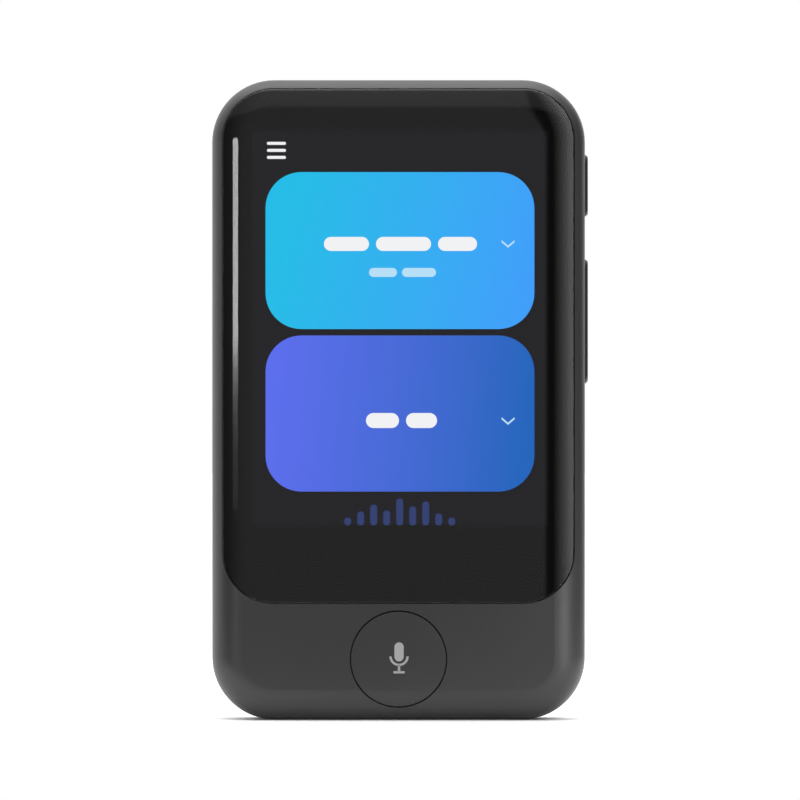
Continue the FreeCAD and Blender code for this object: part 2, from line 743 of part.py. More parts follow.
def bent_strip(label, left, right, *path):
    """Ribbon of one thickness whose level and upright runs follow (depth, height) corners."""
    body = new_piece(label)
    places = [(y_at(depth), as_size(height)) for depth, height in path]
    normals = []
    for (y_a, z_a), (y_b, z_b) in zip(places, places[1:]):
        rise = z_b.value - z_a.value
        run = y_b.value - y_a.value
        upright = abs(rise) > abs(run)
        normals.append((-math.copysign(1, rise), 0) if upright else (0, math.copysign(1, run)))
    sums = [normals[0]]
    sums += [(a[0] + b[0], a[1] + b[1]) for a, b in zip(normals, normals[1:])]
    sums.append(normals[-1])
    other_side = [
        (y + flex_thickness * along_y, z + flex_thickness * along_z)
        for (y, z), (along_y, along_z) in zip(places, sums)]
    grow(body, "side", left, right, polygon, *places, *other_side[::-1])
    return body


display_plug_bottom = lower_board_top - connector_length - connector_edge
display_flex_back = lower_board_back + connector_height + flex_thickness
slot_bottom = window_bottom - flex_room
slot_top = window_bottom + flex_room * 0.7
flex_drop_height = window_bottom + flex_thickness * 2
bent_strip(
    "display_flex", -flex_width / 2, flex_width / 2,
    (display_flex_back, display_plug_bottom),
    (display_flex_back, flex_drop_height),
    (lcd_back + flex_thickness, flex_drop_height),
    (lcd_back + flex_thickness, backlight_bottom - flex_thickness))

# Chassis plate: pressed steel behind the screen, with standoffs for the main board
chassis_plate = new_piece("chassis_plate")
grow(chassis_plate, "front", frame_depth, chassis_back, bevelled_rectangle,
     -chassis_x, chassis_bottom, chassis_x, inner_top - chassis_clearance,
     inner_corner - chassis_clearance)
cut(chassis_plate, "front", frame_depth, chassis_back, rectangle,
    -flex_width / 2 - flex_room, slot_bottom, flex_width / 2 + flex_room, slot_top)
cut(chassis_plate, "front", frame_depth, chassis_back, several, small_round,
    *[(x, z, screw_radius + seat_clearance) for x, z in chassis_screw_places])
grow(chassis_plate, "front", chassis_back - seat_clearance, board_front, several, small_round,
     *[(x, z, post_radius) for x, z in board_screw_places])
board_pilot_front = board_back - screw_length + screw_radius / 2
cut(chassis_plate, "front", board_pilot_front, board_front,
    several, small_round, *[(x, z, screw_radius) for x, z in board_screw_places])


def screws(label, seat, places):
    """Pan-head screws of one length, driven towards the front at the places given."""
    body = new_piece(label)
    grow(body, "front", seat, seat + screw_head_height, several, small_round,
         *[(x, z, screw_head_radius) for x, z in places])
    grow(body, "front", seat + screw_head_height - screw_length, seat, several, small_round,
         *[(x, z, screw_radius - seat_clearance / 2) for x, z in places])


screws("chassis_screws", chassis_back, chassis_screw_places)
screws("board_screws", board_back, board_screw_places)
screws("lower_board_screws", lower_board_back, lower_screw_places)

# Main board with its shields, and the small board in the chin
main_board = new_piece("main_board")
grow(main_board, "front", board_front, board_back, bevelled_rectangle,
     -board_x, board_bottom, board_x, board_top, board_corner)
cut(main_board, "front", board_front, board_back, several, small_round,
    *[(x, z, screw_radius + seat_clearance) for x, z in board_screw_places])

processor_left = reader_right + rib_thickness
processor_right = camera_x - camera_size / 2 - rib_thickness
processor_shield = new_piece("processor_shield")
grow(processor_shield, "front", board_back, board_back + shield_height, rectangle,
     processor_left, board_bottom + shield_edge, processor_right, board_top - shield_edge)

radio_shield = new_piece("radio_shield")
radio_left = radio_edge - board_x
radio_bottom = board_bottom + shield_edge
grow(radio_shield, "front", chassis_back + tape_thickness, board_front, rectangle,
     radio_left, radio_bottom, radio_left + radio_width, radio_bottom + radio_height)

lower_board = new_piece("lower_board")
wing_x = -board_x
wing_bottom = lower_board_top - wing_height
grow(lower_board, "front", lower_board_front, lower_board_back, polygon,
     (-lower_board_x, lower_board_bottom), (lower_board_x, lower_board_bottom),
     (lower_board_x, lower_board_top), (wing_x, lower_board_top),
     (wing_x, wing_bottom), (-lower_board_x, wing_bottom))
cut(lower_board, "front", lower_board_front, lower_board_back, several, small_round,
    *[(x, z, screw_radius + seat_clearance) for x, z in lower_screw_places])

# Battery pack on its tape, with its lead to the main board
battery_left = battery_shift - battery_width / 2
battery_right = battery_shift + battery_width / 2
battery_front = chassis_back + tape_thickness
battery_back = battery_front + battery_thickness
battery_top = battery_bottom + battery_height
battery_tape = new_piece("battery_tape")
grow(battery_tape, "front", chassis_back, battery_front, rectangle,
     battery_left + battery_border, battery_bottom + battery_border,
     battery_right - battery_border, battery_top - battery_border)
battery_pack = new_piece("battery_pack")
grow(battery_pack, "front", battery_front, battery_back, rectangle,
     battery_left, battery_bottom, battery_right, battery_top)
round_edges(battery_pack, battery_edge,
            lambda box: box.ZLength > battery_height.value / 2 and box.XLength < 1e-6)

battery_plug_bottom = board_bottom + connector_edge / 2
battery_lead_front = board_back + connector_height
battery_lead = new_piece("battery_lead")
grow(battery_lead, "front", battery_lead_front, battery_lead_front + flex_thickness * 2,
     rectangle, -connector_length, battery_top,
     connector_length, battery_plug_bottom + connector_length)

# Link ribbon between the two boards, left of the battery
link_left = -board_x + part_gap
link_right = battery_left - part_gap
link_plug_bottom = wing_bottom + part_gap
link_top_plug_depth = board_front - connector_height
bent_strip(
    "board_link_flex", link_left, link_right,
    (display_flex_back, link_plug_bottom),
    (display_flex_back, chassis_bottom + flex_room),
    (chassis_back + flex_thickness, chassis_bottom + flex_room),
    (chassis_back + flex_thickness, board_bottom - flex_room),
    (link_top_plug_depth, board_bottom - flex_room),
    (link_top_plug_depth, board_bottom + flex_room + connector_length))

# Board connectors: battery, both ends of the link ribbon, and the display's
board_connectors = new_piece("board_connectors")
grow(board_connectors, "front", board_back, battery_lead_front, rectangle,
     -connector_length, battery_plug_bottom,
     connector_length, battery_plug_bottom + connector_length)
grow(board_connectors, "front", link_top_plug_depth, board_front, rectangle,
     link_left, board_bottom + flex_room, link_right, board_bottom + flex_room + connector_length)
grow(board_connectors, "front", lower_board_back, lower_board_back + connector_height, rectangle,
     link_left, link_plug_bottom, link_right, link_plug_bottom + connector_length)
grow(board_connectors, "front", lower_board_back, lower_board_back + connector_height, rectangle,
     -flex_width / 2, display_plug_bottom,
     flex_width / 2, display_plug_bottom + connector_length)

# Charging socket: drawn steel shell round a contact tongue
socket_mouth = socket_recess
socket_end = socket_mouth + socket_length
usb_socket_shell = new_piece("usb_socket_shell")
grow(usb_socket_shell, "level", socket_mouth, socket_end, slot,
     -socket_centre, y_at(port_depth), socket_centre, y_at(port_depth), socket_half)
cut(usb_socket_shell, "level", socket_mouth, socket_end, slot,
    -socket_centre, y_at(port_depth), socket_centre, y_at(port_depth),
    socket_half - socket_wall)
socket_base_bottom = socket_mouth + contact_tongue_length + contact_tongue_setback
usb_socket_tongue = new_piece("usb_socket_tongue")
grow(usb_socket_tongue, "level", socket_base_bottom, socket_end, slot,
     -socket_centre, y_at(port_depth), socket_centre, y_at(port_depth),
     socket_half - socket_wall)
tongue_half = contact_tongue_thickness / 2
grow(usb_socket_tongue, "level", socket_base_bottom - contact_tongue_length,
     socket_base_bottom + seat_clearance, rectangle,
     -contact_tongue_width / 2, y_at(port_depth - tongue_half),
     contact_tongue_width / 2, y_at(port_depth + tongue_half))

# Talk button: a disc cut from the pebble's own surface, with two lugs behind the chin
# skin and a post that reaches the switch
talk_blank = new_body("talk_blank")
grow(talk_blank, "front", 0, talk_cap_depth, circle, 0, talk_height, talk_radius)
talk_cap = boolean("Common", "talk_cap", outer_form, talk_blank)
talk_button = new_piece("talk_button", talk_cap)
lug_front = chin_skin + talk_lug_clearance
grow(talk_button, "front", lug_front, talk_cap_depth, rectangle,
     -lug_x, talk_height - talk_lug_width / 2, lug_x, talk_height + talk_lug_width / 2)
talk_switch_front = lower_board_front - connector_height
talk_post_back = talk_switch_front - talk_travel
grow(talk_button, "front", talk_cap_depth - edge_break, talk_post_back,
     circle, 0, talk_height, talk_post_radius)

talk_switch_half = talk_switch_size / 2
talk_switch_case = new_piece("talk_switch_case")
grow(talk_switch_case, "front", talk_switch_front, lower_board_front, rectangle,
     -talk_switch_half, talk_height - talk_switch_half,
     talk_switch_half, talk_height + talk_switch_half)
talk_bore_back = lower_board_front - switch_bore_gap
cut(talk_switch_case, "front", talk_switch_front, talk_bore_back,
    circle, 0, talk_height, talk_plunger_radius + switch_bore_gap)
talk_switch_plunger = new_piece("talk_switch_plunger")
grow(talk_switch_plunger, "front", talk_post_back,
     talk_bore_back - talk_travel - seat_clearance,
     circle, 0, talk_height, talk_plunger_radius)

# Side keys: bracket and flexible circuit on the right wall, with three switches
bracket_low = volume_bottom - bracket_reach
bracket_high = power_bottom + power_length + bracket_reach
bracket_front = chassis_back + tape_thickness
bracket_back = parting_depth - tape_thickness
side_key_bracket = new_piece("side_key_bracket")
grow(side_key_bracket, "level", bracket_low, bracket_high, rectangle,
     bracket_x, y_at(bracket_front), bracket_x + bracket_thickness, y_at(bracket_back))
for low in (bracket_low, bracket_high - bracket_thickness):
    grow(side_key_bracket, "level", low, low + bracket_thickness, rectangle,
         bracket_x, y_at(front_round), inner_x, y_at(tongue_front))

side_key_flex = new_piece("side_key_flex")
grow(side_key_flex, "side", bracket_x + bracket_thickness, switch_base_x, rectangle,
     y_at(port_depth - key_half), volume_bottom,
     y_at(port_depth + key_half), power_bottom + power_length)

switch_half = switch_size / 2
volume_switch_heights = [
    volume_height - volume_switch_spacing / 2, volume_height + volume_switch_spacing / 2]


def plunger_outlines(heights, room):
    """Square of a side switch's plunger, with some room round it, at each height."""
    reach = switch_plunger_width / 2 + room
    return [
        (y_at(port_depth - reach), z - reach, y_at(port_depth + reach), z + reach)
        for z in heights]


def side_switch_cases(label, heights):
    """Side-push switches on the flexible circuit, each open where its plunger moves."""
    body = new_piece(label)
    grow(body, "side", switch_base_x, switch_top_x, several, rectangle, *[
        (y_at(port_depth - key_half), z - switch_half, y_at(port_depth + key_half), z + switch_half)
        for z in heights])
    cut(body, "side", switch_top_x - switch_plunger_root - key_flange_clearance - switch_bore_gap,
        switch_top_x, several, rectangle, *plunger_outlines(heights, switch_bore_gap))


def side_switch_plungers(label, heights):
    """Plungers that stand out of the switches and touch the backs of the keys."""
    body = new_piece(label)
    grow(body, "side", switch_top_x - switch_plunger_root, key_flange_inner_x,
         several, rectangle, *plunger_outlines(heights, 0))


def side_key(label, low, length):
    """Key cap through the wall, with a flange that keeps it in."""
    body = new_piece(label)
    high = low + length
    grow(body, "side", key_flange_inner_x, key_flange_outer_x, rectangle,
         y_at(port_depth - key_half - key_flange), low - key_flange,
         y_at(port_depth + key_half + key_flange), high + key_flange)
    grow(body, "side", key_flange_outer_x - seat_clearance, key_face_x, slot,
         y_at(port_depth), low + key_half, y_at(port_depth), high - key_half, key_half)
    bevel_edges(body, key_edge, at_x(key_face_x))


side_key("power_button", power_bottom, power_length)
side_switch_cases("power_switch_case", [power_height])
side_switch_plungers("power_switch_plunger", [power_height])
side_key("volume_rocker", volume_bottom, volume_length)
side_switch_cases("volume_switch_cases", volume_switch_heights)
side_switch_plungers("volume_switch_plungers", volume_switch_heights)

# Card reader on the main board, and the tray that slides out of the left wall
tray_front = board_back + reader_wall + tray_clearance
tray_back = tray_front + tray_thickness
sim_reader = new_piece("sim_reader")
reader_left = -inner_x + part_gap
reader_low = tray_height - tray_width / 2 - reader_side
reader_high = tray_height + tray_width / 2 + reader_side
grow(sim_reader, "front", board_back, tray_back + tray_clearance + reader_wall, rectangle,
     reader_left, reader_low, reader_right, reader_high)
cut(sim_reader, "side", reader_left, tray_end_x + tray_clearance * 2, rectangle,
    y_at(tray_front - tray_clearance), tray_height - tray_width / 2 - tray_clearance,
    y_at(tray_back + tray_clearance), tray_height + tray_width / 2 + tray_clearance)

sim_tray = new_piece("sim_tray")
grow(sim_tray, "side", -half_width, plate_inner_x, slot,
     y_at(port_depth), plate_low + plate_half, y_at(port_depth), plate_high - plate_half,
     plate_half)
grow(sim_tray, "front", tray_front, tray_back, rectangle,
     plate_inner_x - seat_clearance, tray_height - tray_width / 2,
     tray_end_x, tray_height + tray_width / 2)
card_right = tray_end_x - (tray_width - card_width) / 2
cut(sim_tray, "front", tray_back - card_thickness, tray_back, polygon,
    (card_right - card_length, tray_height - card_width / 2),
    (card_right, tray_height - card_width / 2),
    (card_right, tray_height + card_width / 2 - card_notch),
    (card_right - card_notch, tray_height + card_width / 2),
    (card_right - card_length, tray_height + card_width / 2))
cut(sim_tray, "front", tray_front, tray_back - card_thickness, rectangle,
    card_right - card_length + contact_inset, tray_height - card_width / 2 + contact_inset,
    card_right - contact_inset, tray_height + card_width / 2 - contact_inset)
eject_height = plate_high - plate_half - eject_hole_radius
cut(sim_tray, "side", -half_width, plate_inner_x, circle,
    y_at(port_depth), eject_height, eject_hole_radius)

# Loudspeakers behind slots in the rear cover, with their gaskets and dust mesh
speaker_back = inner_back - mesh_thickness - gasket_thickness
speaker_top = speaker_bottom + speaker_height
for side, label in ((-1, "speaker_left"), (1, "speaker_right")):
    centre = speaker_x * side
    speaker = new_piece(label)
    grow(speaker, "front", speaker_front, speaker_back, rectangle,
         centre - speaker_width / 2, speaker_bottom, centre + speaker_width / 2, speaker_top)
    cut(speaker, "front", speaker_back - cone_recess, speaker_back, rounded_rectangle,
        centre - speaker_width / 2 + gasket_width, speaker_bottom + gasket_width,
        centre + speaker_width / 2 - gasket_width, speaker_top - gasket_width, cone_corner)


def speaker_copies(border):
    """Outline of each speaker, moved inwards."""
    return [
        (speaker_x * side - speaker_width / 2 + border, speaker_bottom + border,
         speaker_x * side + speaker_width / 2 - border, speaker_top - border)
        for side in (-1, 1)]


speaker_gaskets = new_piece("speaker_gaskets")
grow(speaker_gaskets, "front", speaker_back, speaker_back + gasket_thickness,
     several, rectangle, *speaker_copies(seat_clearance))
cut(speaker_gaskets, "front", speaker_back, speaker_back + gasket_thickness,
    several, rectangle, *speaker_copies(gasket_width))
speaker_mesh = new_piece("speaker_mesh")
grow(speaker_mesh, "front", speaker_back + gasket_thickness, inner_back,
     several, rectangle, *speaker_copies(mesh_border))

# Microphones at both ends
for label, x, low, front in (
        ("lower_microphone", lower_microphone_x, lower_board_bottom + seat_clearance,
         lower_board_back),
        ("top_microphone", top_microphone_x, board_top - microphone_length - seat_clearance,
         board_back)):
    microphone = new_piece(label)
    grow(microphone, "front", front, front + microphone_thickness, rectangle,
         x - microphone_width / 2, low, x + microphone_width / 2, low + microphone_length)

# Camera with its window and trim ring, and the lamp beside it
barrel_back = inner_back - seat_clearance
module_back = barrel_back - camera_barrel_height
camera_module = new_piece("camera_module")
grow(camera_module, "front", board_back, module_back, rectangle,
     camera_x - camera_size / 2, camera_height - camera_size / 2,
     camera_x + camera_size / 2, camera_height + camera_size / 2)
grow(camera_module, "front", module_back - seat_clearance, barrel_back,
     circle, camera_x, camera_height, camera_barrel_radius)
cut(camera_module, "front", barrel_back - cone_recess, barrel_back,
    circle, camera_x, camera_height, camera_lens_radius)
window_front = body_depth - window_recess
camera_window = new_piece("camera_window")
grow(camera_window, "front", window_front, window_front + window_thickness,
     circle, camera_x, camera_height, window_radius)
camera_ring = new_piece("camera_ring")
grow(camera_ring, "front", window_front, body_depth, circle, camera_x, camera_height, ring_radius)
cut(camera_ring, "front", window_front, body_depth,
    circle, camera_x, camera_height, window_radius + seat_clearance)

flash_led = new_piece("flash_led")
led_half = flash_radius * 0.8
led_back = board_back + connector_height
grow(flash_led, "front", board_back, led_back, rectangle,
     camera_x - led_half, flash_height - led_half, camera_x + led_half, flash_height + led_half)
flash_lens = new_piece("flash_lens")
grow(flash_lens, "front", led_back + flash_air, body_depth,
     circle, camera_x, flash_height, flash_radius)

# Antenna on the inside of the rear cover
antenna_flex = new_piece("antenna_flex")
antenna_left = radio_edge - board_x
antenna_top = board_top - shield_edge
antenna_low = antenna_top - antenna_height
grow(antenna_flex, "front", inner_back - flex_thickness, inner_back, polygon,
     (antenna_left, antenna_low),
     (antenna_left + antenna_strip, antenna_low),
     (antenna_left + antenna_strip, antenna_top - antenna_strip),
     (antenna_left + antenna_width, antenna_top - antenna_strip),
     (antenna_left + antenna_width, antenna_top),
     (antenna_left, antenna_top))

# Check every feature, then write one file for each piece
doc.recompute()
failed = [item.Label for item in doc.Objects if {"Invalid", "Error"} & set(item.State)]
if failed:
    raise RuntimeError(f"features that failed: {failed}")
for item in doc.Objects:
    if item.TypeId == "PartDesign::Pocket":
        before = item.BaseFeature.Shape.Volume
        if item.Shape.Volume > before - 1e-6:
            raise RuntimeError(f"{item.Label} cuts nothing")
for body in pieces:
    if body.Shape.isNull() or not body.Shape.isValid():
        raise RuntimeError(f"{body.Label} has no valid shape")

os.makedirs("parts", exist_ok=True)
for body in pieces:
    body.Shape.exportStep(f"parts/{body.Label}.step")
print(len(pieces), "pieces written")
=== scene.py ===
# Handheld translator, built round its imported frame. Metres: X runs to the right of the
# screen, Y from the screen into the device, and Z up from its lower end.
import math

import bpy
import numpy as np
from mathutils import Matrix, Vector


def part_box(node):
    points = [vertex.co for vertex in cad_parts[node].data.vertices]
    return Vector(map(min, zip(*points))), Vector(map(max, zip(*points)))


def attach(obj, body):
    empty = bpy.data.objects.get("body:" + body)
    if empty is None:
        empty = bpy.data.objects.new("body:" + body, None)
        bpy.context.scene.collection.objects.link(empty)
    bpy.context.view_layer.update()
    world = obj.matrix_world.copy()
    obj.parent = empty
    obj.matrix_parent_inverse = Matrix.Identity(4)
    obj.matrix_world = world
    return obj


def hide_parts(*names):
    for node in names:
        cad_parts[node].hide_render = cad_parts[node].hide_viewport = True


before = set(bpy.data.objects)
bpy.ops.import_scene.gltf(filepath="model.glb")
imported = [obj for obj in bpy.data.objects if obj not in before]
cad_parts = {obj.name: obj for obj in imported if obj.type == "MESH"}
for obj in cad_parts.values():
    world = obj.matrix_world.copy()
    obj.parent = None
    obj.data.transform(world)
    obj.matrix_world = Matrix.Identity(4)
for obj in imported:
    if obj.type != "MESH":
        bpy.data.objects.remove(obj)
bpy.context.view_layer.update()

# Camera: a long lens, square to the screen and level with the middle of the device. In the
# photograph a millimetre is 6.93 px, and the device stands a little left of the middle.
MM = 0.001
PHOTO_PX = 800
PX_PER_MM = 6.93
DEVICE_CENTRE_PX = 398.55
DEVICE_FOOT_PX = 718.9
CAMERA_DISTANCE = 0.9
SENSOR_WIDTH_MM = 36.0


def photo_x(pixel):
    """X of a column of the photograph, on the device's own plane."""
    return (pixel - DEVICE_CENTRE_PX) / PX_PER_MM * MM


def photo_z(pixel):
    """Height of a row of the photograph, on the device's own plane."""
    return (DEVICE_FOOT_PX - pixel) / PX_PER_MM * MM


camera = bpy.data.objects.new("camera", bpy.data.cameras.new("camera"))
camera.data.sensor_width = SENSOR_WIDTH_MM
camera.data.lens = SENSOR_WIDTH_MM * CAMERA_DISTANCE / (PHOTO_PX / PX_PER_MM * MM)
camera.location = (photo_x(PHOTO_PX / 2), -CAMERA_DISTANCE, photo_z(PHOTO_PX / 2))
camera.rotation_euler = (math.radians(90), 0, 0)
bpy.context.collection.objects.link(camera)
bpy.context.scene.camera = camera
bpy.context.scene.view_settings.view_transform = "Standard"

# Studio: white behind the device and a dim room in front of it, with a bright wall on the
# front right, a black flag beyond that and a pale ceiling. Each stop is an angle in degrees
# and a radiance: the room's by bearing to the right of the camera, the ceiling's by rise.
ROOM_STOPS = (
    (-180, 1.0), (-125, 1.1), (-98, 0.7), (-84, 0.25), (-60, 0.16), (-42, 0.22), (-20, 0.42),
    (-12, 0.46), (4, 0.46), (9, 0.1), (17, 0.1), (23, 0.4), (33, 1.0), (48, 2.1), (58, 2.2),
    (72, 0.3), (118, 0.1), (145, 0.5), (165, 1.0), (180, 1.0))
CEILING_STOPS = ((-90, 0.0), (22, 0.0), (27, 0.3), (60, 0.4), (90, 0.7))
BACKDROP_WHITE = 1.0
STRAIGHT_BEHIND = 0.8


def add(tree, kind, sockets=None, **settings):
    """Add one node, set its properties, and fill its sockets with values or links."""
    item = tree.nodes.new(kind)
    for name, value in settings.items():
        setattr(item, name, value)
    for name, value in (sockets or {}).items():
        if isinstance(value, bpy.types.NodeSocket):
            tree.links.new(value, item.inputs[name])
        else:
            item.inputs[name].default_value = value
    return item


def graded(tree, angle, stops):
    """Radiance that runs straight from one stop to the next, as an angle in radians grows."""
    low, high = stops[0][0], stops[-1][0]
    spread = add(tree, "ShaderNodeMapRange", {
        "Value": angle, "From Min": math.radians(low), "From Max": math.radians(high)})
    ramp = add(tree, "ShaderNodeValToRGB", {"Fac": spread.outputs["Result"]})
    brightest = max(level for _, level in stops)
    elements = ramp.color_ramp.elements
    elements.remove(elements[0])
    for index, (place, level) in enumerate(stops):
        position = (place - low) / (high - low)
        stop = elements[0] if index == 0 else elements.new(position)
        stop.position = position
        stop.color = (*(level / brightest,) * 3, 1)
    return add(tree, "ShaderNodeMath", {
        0: ramp.outputs["Color"], 1: brightest}, operation="MULTIPLY").outputs[0]


world = bpy.data.worlds.new("studio")
world.use_nodes = True
bpy.context.scene.world = world
tree = world.node_tree
tree.nodes.clear()
heading = add(tree, "ShaderNodeTexCoord").outputs["Generated"]
parts = add(tree, "ShaderNodeSeparateXYZ", {"Vector": heading}).outputs
towards_camera = add(tree, "ShaderNodeMath", {0: parts["Y"], 1: -1.0}, operation="MULTIPLY")
bearing = add(tree, "ShaderNodeMath", {
    0: parts["X"], 1: towards_camera.outputs[0]}, operation="ARCTAN2")
rise = add(tree, "ShaderNodeMath", {0: parts["Z"]}, operation="ARCSINE")
room = add(tree, "ShaderNodeMath", {
    0: graded(tree, bearing.outputs[0], ROOM_STOPS),
    1: graded(tree, rise.outputs[0], CEILING_STOPS)}, operation="ADD")
# The camera and clear glass see white all round. A mirror sees it only straight behind the
# device, because the black cover glass has to mirror the room.
rays = add(tree, "ShaderNodeLightPath").outputs
behind = add(tree, "ShaderNodeMath", {
    0: parts["Y"], 1: STRAIGHT_BEHIND}, operation="GREATER_THAN")
mirrored = add(tree, "ShaderNodeMath", {
    0: rays["Is Glossy Ray"], 1: behind.outputs[0]}, operation="MULTIPLY")
direct = add(tree, "ShaderNodeMath", {
    0: rays["Is Camera Ray"], 1: rays["Is Transmission Ray"]}, operation="MAXIMUM")
seen = add(tree, "ShaderNodeMath", {
    0: direct.outputs[0], 1: mirrored.outputs[0]}, operation="MAXIMUM")
level = add(tree, "ShaderNodeMix", {
    "Factor": seen.outputs[0], "A": room.outputs[0], "B": BACKDROP_WHITE}, data_type="FLOAT")
glow = add(tree, "ShaderNodeBackground", {
    "Color": (1, 1, 1, 1), "Strength": level.outputs["Result"]})
add(tree, "ShaderNodeOutputWorld", {"Surface": glow.outputs[0]})

# Lamps: the left strip is even down to the middle of the screen and fades out below it, as
# a stack of thin lamps. A low box brightens the chin from the right, and a wide one hangs
# above the device.
STRIP_X, STRIP_Y, STRIP_WIDTH = -0.196, -0.305, 0.055
STRIP_AIM_X = -0.023
STRIP_TOP, STRIP_FADE_TOP, STRIP_FOOT = 0.112, 0.061, 0.022
STRIP_RADIANCE, STRIP_GLOW = 9.2, 0.25
FADE_STEP, FADE_LENGTH = 0.003, 0.0065
LOW_BOX_PLACE, LOW_BOX_AIM = (0.085, -0.13, 0.0055), (0.0, 0.0, 0.0055)
LOW_BOX_SIZE, LOW_BOX_RADIANCE = (0.10, 0.010), 9.0
TOP_BOX_PLACE, TOP_BOX_AIM = (0.0, 0.0, 0.42), (0.0, 0.0, 0.05)
TOP_BOX_SIZE, TOP_BOX_RADIANCE = (0.5, 0.4), 1.2


def soft_box(name, place, aim, size, radiance):
    """Lamp of one radiance that faces its aim: its watts are radiance times pi times area."""
    data = bpy.data.lights.new(name, "AREA")
    data.shape = "RECTANGLE"
    data.size, data.size_y = size
    data.energy = radiance * math.pi * size[0] * size[1]
    item = bpy.data.objects.new(name, data)
    item.location = place
    away = np.array(place) - np.array(aim)
    turn = math.atan2(away[0], -away[1])
    tilt = math.atan2(math.hypot(away[0], away[1]), away[2])
    item.rotation_euler = (tilt, 0, turn)
    item.visible_camera = False
    bpy.context.collection.objects.link(item)


strip_edges = [STRIP_TOP, *np.arange(STRIP_FADE_TOP, STRIP_FOOT, -FADE_STEP).tolist()]
for index, (high, low) in enumerate(zip(strip_edges, strip_edges[1:])):
    middle = (high + low) / 2
    fade = math.exp(min(middle - STRIP_FADE_TOP, 0) / FADE_LENGTH)
    soft_box(f"left_strip_{index}", (STRIP_X, STRIP_Y, middle), (STRIP_AIM_X, 0, middle),
             (STRIP_WIDTH, high - low), STRIP_RADIANCE * fade + STRIP_GLOW)
soft_box("low_right_box", LOW_BOX_PLACE, LOW_BOX_AIM, LOW_BOX_SIZE, LOW_BOX_RADIANCE)
soft_box("top_box", TOP_BOX_PLACE, TOP_BOX_AIM, TOP_BOX_SIZE, TOP_BOX_RADIANCE)

# Floor: matt white paper that ends close in front and on the right, so that the dark plastic
# mirrors the room there and not the paper. Where it is seen, in a mirror too, it is lifted
# to full white, and it keeps the device's shadow.
FLOOR_FRONT, FLOOR_BACK, FLOOR_LEFT, FLOOR_RIGHT = -0.03, 3.0, -2.0, 0.15
PAPER_WHITE = 0.8
LIT_PAPER_WHITE = 1.3
floor_mesh = bpy.data.meshes.new("floor")
floor_mesh.from_pydata(
    [(FLOOR_LEFT, FLOOR_FRONT, 0), (FLOOR_RIGHT, FLOOR_FRONT, 0),
     (FLOOR_RIGHT, FLOOR_BACK, 0), (FLOOR_LEFT, FLOOR_BACK, 0)], [], [(0, 1, 2, 3)])
floor = bpy.data.objects.new("floor", floor_mesh)
bpy.context.collection.objects.link(floor)
paper = bpy.data.materials.new("matt_white_paper")
paper.use_nodes = True
tree = paper.node_tree
tree.nodes.clear()
rays = add(tree, "ShaderNodeLightPath").outputs
direct = add(tree, "ShaderNodeMath", {
    0: rays["Is Camera Ray"], 1: rays["Is Transmission Ray"]}, operation="MAXIMUM")
seen = add(tree, "ShaderNodeMath", {
    0: direct.outputs[0], 1: rays["Is Glossy Ray"]}, operation="MAXIMUM")
white = add(tree, "ShaderNodeMapRange", {
    "Value": seen.outputs[0], "To Min": PAPER_WHITE, "To Max": LIT_PAPER_WHITE})
sheet = add(tree, "ShaderNodeBsdfDiffuse", {"Color": white.outputs["Result"]})
add(tree, "ShaderNodeOutputMaterial", {"Surface": sheet.outputs[0]})
floor_mesh.materials.append(paper)

# Front housing, rear cover and talk button: black polycarbonate, moulded in etched tools.
# The etch spreads light into a satin sheen, and its tiny pits show only from close by.
# Nearly all of a noise lies between NOISE_LOW and NOISE_HIGH.
NOISE_LOW, NOISE_HIGH = 0.3, 0.7
PLASTIC_IOR = 1.58
SHEEN_PATCH_MM = 11
SHEEN_DRIFT = 0.025
# The grain's colour is darkened in its pits as painted shade and lightened on its peaks as
# painted light.
PAINTED_PIT_SHADE, PAINTED_PEAK_LIGHT = 0.85, 1.15


def linear(hexcode):
    """Linear RGBA of an sRGB hex colour: c / 12.92 up to 0.04045, and a 2.4 power above it."""
    channels = np.array([int(hexcode[i:i + 2], 16) for i in (1, 3, 5)]) / 255
    bent = np.where(channels > 0.04045, ((channels + 0.055) / 1.055) ** 2.4, channels / 12.92)
    return (*bent.tolist(), 1.0)


def start_material(name):
    """New material without nodes, with its tree and its Object coordinates."""
    material = bpy.data.materials.new(name)
    material.use_nodes = True
    material.node_tree.nodes.clear()
    place = add(material.node_tree, "ShaderNodeTexCoord").outputs["Object"]
    return material, material.node_tree, place


def close_material(tree, surface):
    """Join a shader to the material's output."""
    add(tree, "ShaderNodeOutputMaterial", {"Surface": surface.outputs[0]})


def dress(material, *node_names):
    """Give CAD nodes one material."""
    for node_name in node_names:
        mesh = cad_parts[node_name].data
        mesh.materials.clear()
        mesh.materials.append(material)


